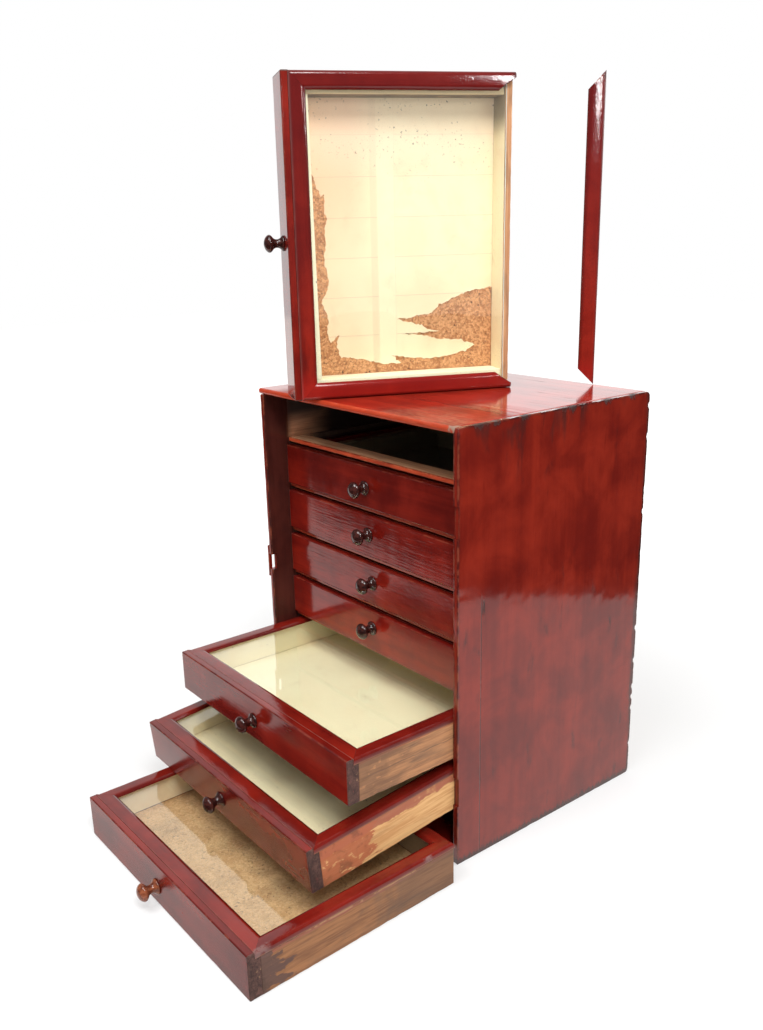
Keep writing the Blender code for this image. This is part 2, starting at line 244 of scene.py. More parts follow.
class Recipe(Tree):
    """The nodes of one material, in the own frame of the piece that it dresses."""

    def __init__(self, name: str, place: Place = Place()) -> None:
        """Starts an empty material.

        Args:
            name: the material's name.
            place: where the piece's own frame stands.
        """
        self.material = bpy.data.materials.new(name)
        self.material.use_nodes = True
        super().__init__(self.material.node_tree)
        world = self.node("ShaderNodeTexCoord", {}, "Object")
        inputs = {"Vector": world, "Location": place.location, "Rotation": place.turn}
        self.local = self.node("ShaderNodeMapping", inputs, vector_type="TEXTURE")
        self.axes = [self.node("ShaderNodeSeparateXYZ", {0: self.local}, axis) for axis in range(3)]

    def drawn(self, draw: Point, seed: float) -> Sock:
        """The piece's own coordinates, scaled and moved to a spot of the seed's own."""
        scaled = self.vector("MULTIPLY", self.local, draw)
        return self.vector("ADD", scaled, (3.1 * seed, -1.7 * seed, 2.3 * seed))

    def cloud(
        self, scale: float, seed: float, detail: float = 3.0, warp: float = 0.0, draw: Point = EVEN
    ) -> Sock:
        """A noise texture, with values about 0.5.

        Args:
            scale: cells in a metre.
            seed: the number that picks the pattern.
            detail: octaves.
            warp: how far the pattern is distorted.
            draw: factors on the coordinates, which draw the pattern out.

        Returns:
            The noise.
        """
        inputs = {"Vector": self.drawn(draw, seed), "Scale": scale, "Detail": detail}
        return self.node("ShaderNodeTexNoise", {**inputs, "Roughness": 0.58, "Distortion": warp})

    def edges(self, box: Box) -> Sock:
        """The distance to the nearest edge of a box: the second smallest distance to its faces."""
        first, second, third = (
            (high - low) / 2 - (part - (high + low) / 2).size() for part, low, high in zip(self.axes, *box)
        )
        return first.least(second).most(first.most(second).least(third))

    def bump(self, relief: Sock) -> Sock:
        """The normal over a relief in metres."""
        return self.node("ShaderNodeBump", {"Height": relief, "Distance": 1.0})

    def surface(self, layer: Layer, **sockets: Any) -> bpy.types.Material:
        """Ends the recipe with a shader.

        Args:
            layer: the finish.
            sockets: further inputs of the shader, by name with underscores.

        Returns:
            The material.
        """
        inputs = {"Base Color": layer.colour, "Roughness": layer.roughness, "Normal": self.bump(layer.relief)}
        inputs.update({key.replace("_", " "): value for key, value in sockets.items()})
        return self.finish(self.node("ShaderNodeBsdfPrincipled", inputs))

    def finish(self, shader: Sock) -> bpy.types.Material:
        """Ends the recipe with a shader that is already mixed."""
        self.end("ShaderNodeOutputMaterial", shader)
        return self.material


class Finish:
    """A finish that any recipe can take."""

    def layer(self, recipe: Recipe) -> Layer:
        """Mixes the finish.

        Args:
            recipe: the material in the making.

        Returns:
            The layer.
        """
        raise NotImplementedError

    def material(self, recipe: Recipe) -> bpy.types.Material:
        """A material of this finish alone."""
        return recipe.surface(self.layer(recipe))


@dataclass(frozen=True)
class Shellac(Finish):
    """Red-stained wood under old, uneven shellac.

    The wear shows the lighter wood along the edges of the box, and the smudges are dark dirt.
    """

    grain: Grain
    box: Box
    seed: float = 0.0
    deep: Colour = (0.095, 0.0045, 0.0032)
    glow: Colour = (0.215, 0.0125, 0.0062)
    worn: Colour = (0.42, 0.085, 0.036)
    soot: Colour = (0.030, 0.006, 0.006)
    wear: float = 0.35
    reach: float = 0.0016
    smudges: float = 0.4
    figure: float = 0.45
    gloss: float = 0.085
    pores: float = 0.45
    swell: float = 1.0
    ribs: float = 1.0
    ripple: float = 1.0
    peel: float = 0.0
    lined: float = 0.4

    def layer(self, recipe: Recipe) -> Layer:
        """Mixes stain, pores, dirt, worn edges and brush marks."""
        seed, reach, along = self.seed, self.reach, self.grain.drawn_out(0.07)
        streaks = recipe.cloud(62.0, seed, 4.0, 0.3, along)
        clouds = recipe.cloud(19.0, seed, 4.0, 0.4)
        tone = (streaks * self.figure + clouds * (1.0 - self.figure)).rise(0.34, 0.68)
        pores = recipe.cloud(460.0, seed, 2.0, draw=along).rise(0.60, 0.78) * self.pores
        colour = recipe.blend(tone, self.deep, self.glow).tint(pores, self.deep)
        dirt = recipe.cloud(70.0, seed + 4.0, 6.0, 0.3, self.grain.drawn_out(0.30))
        smudge = dirt.rise(0.58, 0.80) * self.smudges
        edge = recipe.edges(self.box) + recipe.cloud(170.0, seed, 4.0).wander(1.5 * reach)
        lines = edge.rise(1.3 * reach, 0.3 * reach) * self.lined
        rubbed = edge.rise(reach, 0.2 * reach) * recipe.cloud(60.0, seed).rise(0.44, 0.58)
        colour = colour.tint(smudge, self.soot).tint(lines, self.soot).tint(rubbed * self.wear, self.worn)
        brushed = recipe.cloud(480.0, seed, 2.0, draw=along)
        colour = colour.tint(brushed.rise(0.52, 0.68) * min(0.55, 0.035 * self.ribs), self.deep)
        roughness = self.gloss + clouds.rise(0.40, 0.75) * 0.05 + smudge * 0.16 + rubbed * 0.12
        ripple = recipe.cloud(130.0, seed + 8.0, 2.0, draw=self.grain.drawn_out(0.3))
        relief = recipe.cloud(24.0, seed, 2.0) * (0.00020 * self.swell) + brushed * (0.000012 * self.ribs)
        relief = relief + ripple * (0.000026 * self.ripple)
        if self.peel:
            relief = relief + recipe.cloud(560.0, seed, 1.0) * (0.000065 * self.peel)
        return Layer(colour, roughness, relief)


@dataclass(frozen=True)
class BarePine(Finish):
    """Unfinished softwood, greyed with age."""

    grain: Grain
    seed: float = 0.0
    pale: Colour = (0.56, 0.33, 0.155)
    dark: Colour = (0.30, 0.145, 0.062)
    grime: Colour = (0.10, 0.060, 0.040)
    dirt: float = 0.45
    rings: float = 150.0
    draw: float = 0.045

    def layer(self, recipe: Recipe) -> Layer:
        """Mixes year rings, fibres and grime."""
        along = self.grain.drawn_out(self.draw)
        rings = recipe.cloud(self.rings, self.seed, 8.0, 0.9, along)
        fibres = recipe.cloud(900.0, self.seed, 2.0, draw=along)
        clouds = recipe.cloud(75.0, self.seed + 2.0, 5.0, 0.4, self.grain.drawn_out(0.22))
        colour = recipe.blend((rings * 0.68 + fibres * 0.32).rise(0.41, 0.60), self.pale, self.dark)
        colour = colour.tint(clouds.rise(0.50, 0.72) * self.dirt, self.grime)
        return Layer(colour, 0.68 + fibres * 0.2, rings * 0.00006 + fibres * 0.00003)


@dataclass(frozen=True)
class EndGrain(Finish):
    """The dark, thirsty end of a board, with coarse pores."""

    seed: float = 0.0
    pale: Colour = (0.120, 0.052, 0.040)
    dark: Colour = (0.034, 0.015, 0.012)

    def layer(self, recipe: Recipe) -> Layer:
        """Mixes coarse pores over slow clouds."""
        pores = recipe.cloud(1100.0, self.seed)
        clouds = recipe.cloud(160.0, self.seed, 4.0)
        colour = recipe.blend((pores * 0.5 + clouds * 0.5).rise(0.38, 0.66), self.dark, self.pale)
        return Layer(colour, 0.80 + pores * 0.2, pores * 0.00012 + clouds * 0.00010)


@dataclass(frozen=True)
class Cork(Finish):
    """A sheet of pressed cork, with dark flecks between the granules."""

    seed: float = 0.0
    pale: Colour = (0.72, 0.365, 0.170)
    tan: Colour = (0.43, 0.175, 0.070)
    fleck: Colour = (0.085, 0.034, 0.018)
    grit: float = 1.0
    stains: float = 0.0

    def layer(self, recipe: Recipe) -> Layer:
        """Mixes warped granules, the hollows between them, flecks and stains."""
        seed, plain = self.seed, recipe.drawn(EVEN, self.seed)
        warped = recipe.node("ShaderNodeTexNoise", {"Vector": plain, "Scale": 500.0, "Detail": 2.0}, "Color")
        spread = recipe.node("ShaderNodeVectorMath", {0: warped, "Scale": 0.0022}, operation="SCALE")
        cell = {"Vector": recipe.vector("ADD", plain, spread), "Scale": 520.0, "Randomness": 1.0}
        shade = recipe.node("ShaderNodeTexVoronoi", cell, "Color", feature="F1")
        hollow = recipe.node("ShaderNodeTexVoronoi", cell, "Distance", feature="F1")
        fine = recipe.cloud(800.0, seed)
        tone = shade.wander(0.46 * self.grit) + recipe.cloud(60.0, seed, 4.0, 0.6) * 0.54 + fine * 0.22 + 0.12
        colour = recipe.blend(tone.rise(0.30, 0.68), self.tan, self.pale)
        colour = colour.tint(recipe.cloud(22.0, seed, 6.0, 0.5).rise(0.48, 0.70) * self.stains, self.fleck)
        flecks = recipe.cloud(400.0, seed, 3.0, 0.8).rise(0.590, 0.65)
        where = recipe.cloud(45.0, seed).rise(0.36, 0.60)
        colour = colour.tint(flecks * where * (0.3 + 0.6 * self.grit), self.fleck)
        colour = colour.tint(hollow.rise(0.55, 0.95) * (0.35 * self.grit), self.fleck)
        return Layer(colour, 0.86 - flecks * 0.1, hollow * -0.00030 + fine * 0.00012 - flecks * 0.00030)


@dataclass(frozen=True)
class Paper(Finish):
    """Cream lining paper with foxing and a few specks. The ruled one has a faint printed grid."""

    seed: float = 0.0
    cream: Colour = (0.91, 0.79, 0.53)
    aged: Colour = (0.87, 0.67, 0.43)
    stain: Colour = (0.62, 0.44, 0.27)
    speck: Colour = (0.13, 0.080, 0.048)
    age: float = 0.5
    specks: float = 0.3
    ruled: bool = False
    flush: Colour = (0.99, 0.75, 0.57)
    peach: Colour = (0.92, 0.57, 0.37)
    band: Colour = (0.93, 0.85, 0.60)
    stripe: Colour = (0.76, 0.58, 0.38)
    thin_ink: Colour = (0.42, 0.27, 0.20)
    long_ink: Colour = (0.50, 0.34, 0.24)

    def layer(self, recipe: Recipe) -> Layer:
        """Mixes the yellowing, the grid, the stains and the specks."""
        clouds = recipe.cloud(17.0, self.seed, 4.0, 0.5)
        colour = recipe.blend(clouds.rise(0.42, 0.68) * self.age, self.cream, self.aged)
        if self.ruled:
            colour = self.rule(recipe, colour)
        stains = recipe.cloud(48.0, self.seed, 5.0, 0.4)
        colour = colour.tint(stains.rise(0.56, 0.76) * (0.5 * self.age), self.stain)
        rare = 0.725 - 0.072 * self.specks
        fox = recipe.cloud(430.0, self.seed, 2.0).rise(rare, rare + 0.03)
        where = recipe.cloud(40.0, self.seed, 2.0).rise(0.44, 0.56)
        if self.ruled:
            head = recipe.axes[0].rise(-0.045, -0.100)
            where = where * (0.15 + head * 0.85)
            colour = colour.tint(head * 0.5, self.flush)
        fibres = recipe.cloud(700.0, self.seed)
        colour = colour.tint(fox * where * 0.85, self.speck)
        return Layer(colour, 0.76 + fibres * 0.15, fibres * 0.000004 + clouds * 0.0004)

    def rule(self, recipe: Recipe, colour: Sock) -> Sock:
        """Prints the grid: two long lines with a pale band between them, and short lines across.

        Args:
            recipe: the material in the making.
            colour: the paper's colour.

        Returns:
            The printed colour.
        """
        x, y, _ = recipe.axes
        row, middle, half_band = 0.0374, 0.1033, 0.0088
        thin = (x - 0.09075).cycle(row).rise(0.00048, 0.00014)
        band = y.rise(0.0940, 0.0950) * y.rise(0.1125, 0.1115)
        from_line = (y - middle).size() - half_band
        long_lines = from_line.rise(0.0004, 0.0) * from_line.rise(-0.0004, 0.0)
        stripe = y.rise(0.0870, 0.0885) * y.rise(0.0945, 0.0935)
        left = y.rise(0.1060, 0.0640) * (0.30 + x.rise(0.030, -0.065) * 0.62)
        colour = colour.tint(left, self.peach).tint(band * 0.20, self.band).tint(stripe * 0.45, self.stripe)
        colour = colour.tint(thin * (1.0 - band) * 0.33, self.thin_ink)
        return colour.tint(long_lines * 0.28, self.long_ink)


@dataclass(frozen=True)
class Turning(Finish):
    """Dark stained wood, turned and polished."""

    seed: float = 0.0
    deep: Colour = (0.015, 0.0040, 0.0035)
    glow: Colour = (0.048, 0.0105, 0.0080)

    def layer(self, recipe: Recipe) -> Layer:
        """Mixes streaks, tool marks round the axis and a rubbed polish."""
        streaks = recipe.cloud(300.0, self.seed, 4.0, draw=Grain.DEEP.drawn_out(0.15))
        turned = recipe.cloud(1500.0, self.seed, 1.0, draw=(0.05, 1.0, 0.05))
        rubbed = recipe.cloud(140.0, self.seed)
        colour = recipe.blend(streaks.rise(0.36, 0.66), self.deep, self.glow)
        return Layer(colour, 0.06 + rubbed.rise(0.5, 0.8) * 0.14, turned * 0.000004 + rubbed * 0.00004)


@dataclass(frozen=True)
class SheetGlass:
    """Old drawn glass: clear, faintly green, with slow waves and a little dust."""

    box: Box
    seed: float = 0.0
    index: float = 1.5
    tint: Colour = (0.985, 1.0, 0.985)
    shadow: Colour = (0.93, 0.945, 0.935)
    ground: Colour = (0.72, 0.80, 0.75)

    def material(self, recipe: Recipe) -> bpy.types.Material:
        """Makes the glass, which lets lamp light through unbent and has a ground rim.

        Args:
            recipe: the material in the making.

        Returns:
            The material.
        """
        x, y, _ = recipe.axes
        waves = recipe.cloud(20.0, self.seed, 2.0, draw=Grain.DEEP.drawn_out(0.25))
        dust = recipe.cloud(90.0, self.seed, 5.0).rise(0.52, 0.80)
        inputs = {
            "Base Color": self.tint,
            "Roughness": 0.012 + dust * 0.03,
            "Normal": recipe.bump(waves * 0.00012),
            "IOR": self.index,
            "Transmission Weight": 1.0,
        }
        pane = recipe.node("ShaderNodeBsdfPrincipled", inputs)
        clear = recipe.node("ShaderNodeBsdfTransparent", {"Color": self.shadow})
        unbent = recipe.path("Is Shadow Ray").most(recipe.path("Is Diffuse Ray"))
        (left, near, _), (right, far, _) = self.box
        inset = ((right - left) / 2 - x.size()).least((far - near) / 2 - (y - (near + far) / 2).size())
        ground = recipe.node("ShaderNodeBsdfDiffuse", {"Color": self.ground})
        rim = inset.rise(0.0006, 0.0002) * 0.55
        return recipe.finish(recipe.shown(rim, recipe.shown(unbent, pane, clear), ground))


class Stock:
    """Shapes that the boards, rails and turnings are cut from."""

    @staticmethod
    def block(low: Point, high: Point) -> Mesh:
        """A sharp block.

        Args:
            low: its lowest corner.
            high: its highest corner.

        Returns:
            The mesh.
        """
        bm = bmesh.new()
        bmesh.ops.create_cube(bm, size=1.0)
        bmesh.ops.scale(bm, vec=Vector(high) - Vector(low), verts=bm.verts)
        bmesh.ops.translate(bm, vec=(Vector(low) + Vector(high)) / 2, verts=bm.verts)
        return bm

    @staticmethod
    def board(
        box: Box,
        rounding: float,
        segments: int,
        spacings: dict[int, float] | None = None,
        depth: float = 0.0,
        seed: float = 0.0,
    ) -> Mesh:
        """A block with rounded and worn edges.

        Args:
            box: its lowest and its highest corner.
            rounding: the radius along its edges.
            segments: faces round an edge.
            spacings: the distance between loops of edges, by the axis that they cross.
            depth: the deepest wear.
            seed: the number that picks the wear.

        Returns:
            The mesh.
        """
        bm = Stock.block(*box)
        Stock.bevel(bm, bm.edges, rounding, segments)
        Stock.slice_up(bm, spacings or {})
        if depth:
            Stock.knock(bm, box, depth, seed)
        return bm

    @staticmethod
    def bevel(bm: Mesh, edges: Sequence[bmesh.types.BMEdge], offset: float, segments: int) -> None:
        """Rounds the given edges."""
        bmesh.ops.bevel(
            bm, geom=list(edges), offset=offset, offset_type="OFFSET", affect="EDGES", segments=segments,
            profile=0.5, material=-1, clamp_overlap=True,
        )

    @staticmethod
    def between(bm: Mesh, test: Callable[[Vector], bool]) -> list[bmesh.types.BMEdge]:
        """The edges whose ends both pass a test of their place."""
        return [edge for edge in bm.edges if all(test(vert.co) for vert in edge.verts)]

    @staticmethod
    def push(bm: Mesh, way: Point) -> None:
        """Gives the faces of a flat mesh a thickness.

        Args:
            bm: the mesh.
            way: how far the other face lies, and which way.
        """
        pushed = bmesh.ops.extrude_face_region(bm, geom=bm.faces[:], use_keep_orig=True)
        moved = [part for part in pushed["geom"] if isinstance(part, bmesh.types.BMVert)]
        bmesh.ops.translate(bm, vec=way, verts=moved)
        bmesh.ops.recalc_face_normals(bm, faces=bm.faces)

    @staticmethod
    def prism(profile: Sequence[Pair], half: float) -> Mesh:
        """A bar along the first axis, about its middle.

        Args:
            profile: the section's corners, as depth and height.
            half: half the length.

        Returns:
            The mesh.
        """
        bm = bmesh.new()
        bm.faces.new([bm.verts.new((-half, depth, height)) for depth, height in profile])
        Stock.push(bm, (2 * half, 0.0, 0.0))
        return bm

    @staticmethod
    def cut(bm: Mesh, at: Point, normal: Point, near: float = 0.0, trim: bool = False) -> None:
        """Adds the edges where a plane crosses the mesh.

        Args:
            bm: the mesh.
            at: a point of the plane.
            normal: its normal.
            near: how close a vertex counts as being on the plane.
            trim: whether what lies beyond the plane is cut away and the cut closed.
        """
        parts = bm.verts[:] + bm.edges[:] + bm.faces[:]
        made = bmesh.ops.bisect_plane(
            bm, geom=parts, dist=near, plane_co=at, plane_no=normal, clear_outer=trim
        )
        if trim:
            rim = [part for part in made["geom_cut"] if isinstance(part, bmesh.types.BMEdge)]
            bmesh.ops.edgeloop_fill(bm, edges=rim)

    @staticmethod
    def slice_up(bm: Mesh, spacings: dict[int, float]) -> None:
        """Adds loops of edges at an even spacing.

        Args:
            bm: the mesh.
            spacings: the distance between the loops, by the axis that they cross.
        """
        for axis, spacing in spacings.items():
            places = [vert.co[axis] for vert in bm.verts]
            low, high = min(places), max(places)
            count = max(1, round((high - low) / spacing))
            normal = Vector([1.0 if other == axis else 0.0 for other in range(3)])
            for step in range(1, count):
                Stock.cut(bm, normal * (low + (high - low) * step / count), normal, TINY)

    @staticmethod
    def notch(bm: Mesh, front: float, middle: float, tall: float, deep: float) -> None:
        """Pushes part of a front edge back.

        Args:
            bm: the mesh.
            front: where the edge is.
            middle: the height of the notch's middle.
            tall: its height.
            deep: its depth.
        """
        sharp, slack = 0.00015, 0.0001
        for at in (-tall / 2, -tall / 2 + sharp, tall / 2 - sharp, tall / 2):
            Stock.cut(bm, (0.0, 0.0, middle + at), (0.0, 0.0, 1.0), TINY)
        for vert in bm.verts:
            if abs(vert.co.z - middle) < tall / 2 - sharp / 2 and vert.co.y < front + deep + slack:
                vert.co.y = max(vert.co.y, front + deep)

    @staticmethod
    def knock(bm: Mesh, box: Box, depth: float, seed: float, reach: float = 0.0022) -> None:
        """Wears the edges of a box unevenly.

        Args:
            bm: the mesh.
            box: the box whose edges are worn.
            depth: the deepest wear.
            seed: the number that picks the pattern.
            reach: how far from an edge the wear goes.
        """
        low, high = box
        bm.normal_update()
        for vert in bm.verts:
            depths = sorted(min(vert.co[a] - low[a], high[a] - vert.co[a]) for a in range(3))
            near = 1.0 - depths[1] / reach
            if near > 0.0:
                slow = noise.noise(vert.co * 90.0 + Vector((seed, 2.0 * seed, -seed)))
                quick = noise.noise(vert.co * 330.0 + Vector((-seed, seed, 3.0 * seed)))
                vert.co -= vert.normal * (depth * near * max(0.0, slow * 0.7 + quick * 0.7))

    @staticmethod
    def chip(bm: Mesh, spot: Point, radius: float, push: Point) -> None:
        """Dents the mesh round a spot, most at its middle.

        Args:
            bm: the mesh.
            spot: the middle of the dent.
            radius: how far it reaches.
            push: how far the middle moves, and which way.
        """
        for vert in bm.verts:
            near = 1.0 - (vert.co - Vector(spot)).length / radius
            if near > 0.0:
                vert.co += Vector(push) * min(1.0, 1.6 * near)

    @staticmethod
    def turned(profile: Sequence[Pair], steps: int) -> Mesh:
        """A turning about the second axis.

        Args:
            profile: radius and place along the axis, from the crown to the foot.
            steps: faces round it.

        Returns:
            The mesh.
        """
        bm = bmesh.new()
        verts = [bm.verts.new((radius, along, 0.0)) for radius, along in profile]
        edges = [bm.edges.new(pair) for pair in zip(verts, verts[1:])]
        bmesh.ops.spin(
            bm, geom=verts + edges, cent=(0.0, 0.0, 0.0), axis=(0.0, 1.0, 0.0), angle=math.tau, steps=steps,
            use_merge=True,
        )
        bmesh.ops.remove_doubles(bm, verts=bm.verts, dist=0.000005)
        bmesh.ops.recalc_face_normals(bm, faces=bm.faces)
        return bm

    @staticmethod
    def joined(meshes: Sequence[Mesh]) -> Mesh:
        """Joins meshes.

        Args:
            meshes: the meshes, which are used up.

        Returns:
            One mesh of them all.
        """
        whole = bmesh.new()
        for bm in meshes:
            mesh = bpy.data.meshes.new("part")
            bm.to_mesh(mesh)
            bm.free()
            whole.from_mesh(mesh)
            bpy.data.meshes.remove(mesh)
        return whole


class Bench:
    """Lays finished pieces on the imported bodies."""

    def __init__(self) -> None:
        """Starts with no pieces."""
        self.pieces: list[bpy.types.Object] = []

    @staticmethod
    def show(name: str, bm: Mesh, material: bpy.types.Material) -> bpy.types.Object:
        """Makes an object of a mesh.

        Args:
            name: the object's name.
            bm: its mesh, which is used up.
            material: its finish.

        Returns:
            The object.
        """
        mesh = bpy.data.meshes.new(name)
        bm.to_mesh(mesh)
        bm.free()
        mesh.materials.append(material)
        piece = bpy.data.objects.new(name, mesh)
        bpy.context.scene.collection.objects.link(piece)
        return piece

    def lay(
        self,
        name: str,
        bm: Mesh,
        material: bpy.types.Material,
        body: str,
        slot: str,
        nodes: Sequence[str] = (),
        place: Place = Place(),
        smooth_levels: int = 0,
    ) -> None:
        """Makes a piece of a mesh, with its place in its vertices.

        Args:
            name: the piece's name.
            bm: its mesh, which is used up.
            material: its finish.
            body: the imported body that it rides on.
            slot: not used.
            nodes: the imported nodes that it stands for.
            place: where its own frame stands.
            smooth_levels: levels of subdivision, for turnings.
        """
        bmesh.ops.transform(bm, matrix=place.matrix, verts=bm.verts)
        piece = self.show(name, bm, material)
        piece.data.shade_smooth()
        if smooth_levels:
            rounder = piece.modifiers.new("rounder", "SUBSURF")
            rounder.levels = rounder.render_levels = smooth_levels
        else:
            piece.data.set_sharp_from_angle(angle=SHARP_ANGLE)
            piece.modifiers.new("shading", "WEIGHTED_NORMAL").keep_sharp = True
        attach(piece, body)
        if nodes:
            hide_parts(*nodes)
        self.pieces.append(piece)
        LOG.info("%s rides on %s with %d faces", name, body, len(piece.data.polygons))


@dataclass(frozen=True)
class LidMarks:
    """The colours of the lines and wear over a lid's red, and of the painted shade and painted light on the
    first drawer's lid.
    """

    mitre: Colour = (0.035, 0.006, 0.005)
    sight_edge: Colour = (0.06, 0.004, 0.004)
    raw_under: Colour = (0.30, 0.13, 0.06)
    lip_joint: Colour = (0.50, 0.20, 0.14)
    rim: Colour = (0.055, 0.006, 0.005)
    bare_tip: Colour = (0.045, 0.018, 0.014)
    painted_shade_side: Colour = (0.070, 0.004, 0.006)
    painted_light_side: Colour = (0.34, 0.0115, 0.0095)
    scuff: Colour = (0.20, 0.130, 0.120)


@dataclass(frozen=True)
class DrawerSizes:
    """The sizes that all eight drawers share."""

    half: float = 0.1469
    depth: float = 0.2223
    height: float = 0.0428
    front: float = 0.0120
    lip: float = 0.0065
    wall: float = 0.0073
    bottom: float = 0.0040
    cork: float = 0.0030
    paper: float = 0.0003
    lid: float = 0.0055
    rail: float = 0.0162
    overhang: float = 0.0012
    glass: float = 0.0018
    lap: float = 0.0112
    lap_back: float = 0.0086
    gap: float = 0.0003
    knob: float = 0.0190

    @property
    def lid_under(self) -> float:
        """The height of the lid's underside."""
        return self.height - self.lid

    @property
    def wall_top(self) -> float:
        """The height of the walls, a hair under the lid."""
        return self.lid_under - self.gap

    @property
    def lid_front(self) -> float:
        """Where the lid starts, behind the front's lip."""
        return self.lip + self.gap

    @property
    def lid_box(self) -> Box:
        """The lid's box, taken on to the front board's face, where its worn edges end."""
        return (-self.half, 0.0, self.lid_under), (self.half, self.depth, self.height)

    @property
    def inside(self) -> float:
        """Half the room between the walls."""
        return self.half - self.wall

    @property
    def box_back(self) -> float:
        """The back of the box, under the lid's overhang."""
        return self.depth - self.overhang

    @property
    def room_back(self) -> float:
        """The inner face of the box's back."""
        return self.box_back - self.wall

    @property
    def cork_top(self) -> float:
        """The height of the cork's upper face."""
        return self.bottom + self.gap + self.cork


@dataclass(frozen=True)
class WallWood:
    """The bare walls of one drawer and the stain that ran down them."""

    pine: BarePine
    stain: Colour = (0.33, 0.062, 0.032)
    drip: float = 0.004
    drip_wander: float = 0.004
    drip_share: float = 0.8
    front_reach: float = 0.0
    front_stain: Colour = (0.40, 0.15, 0.06)
    front_share: float = 0.0
    front_soft: float = 0.002
    back_share: float = 0.0
    splinters: float = 0.0
    crack: float = 0.0


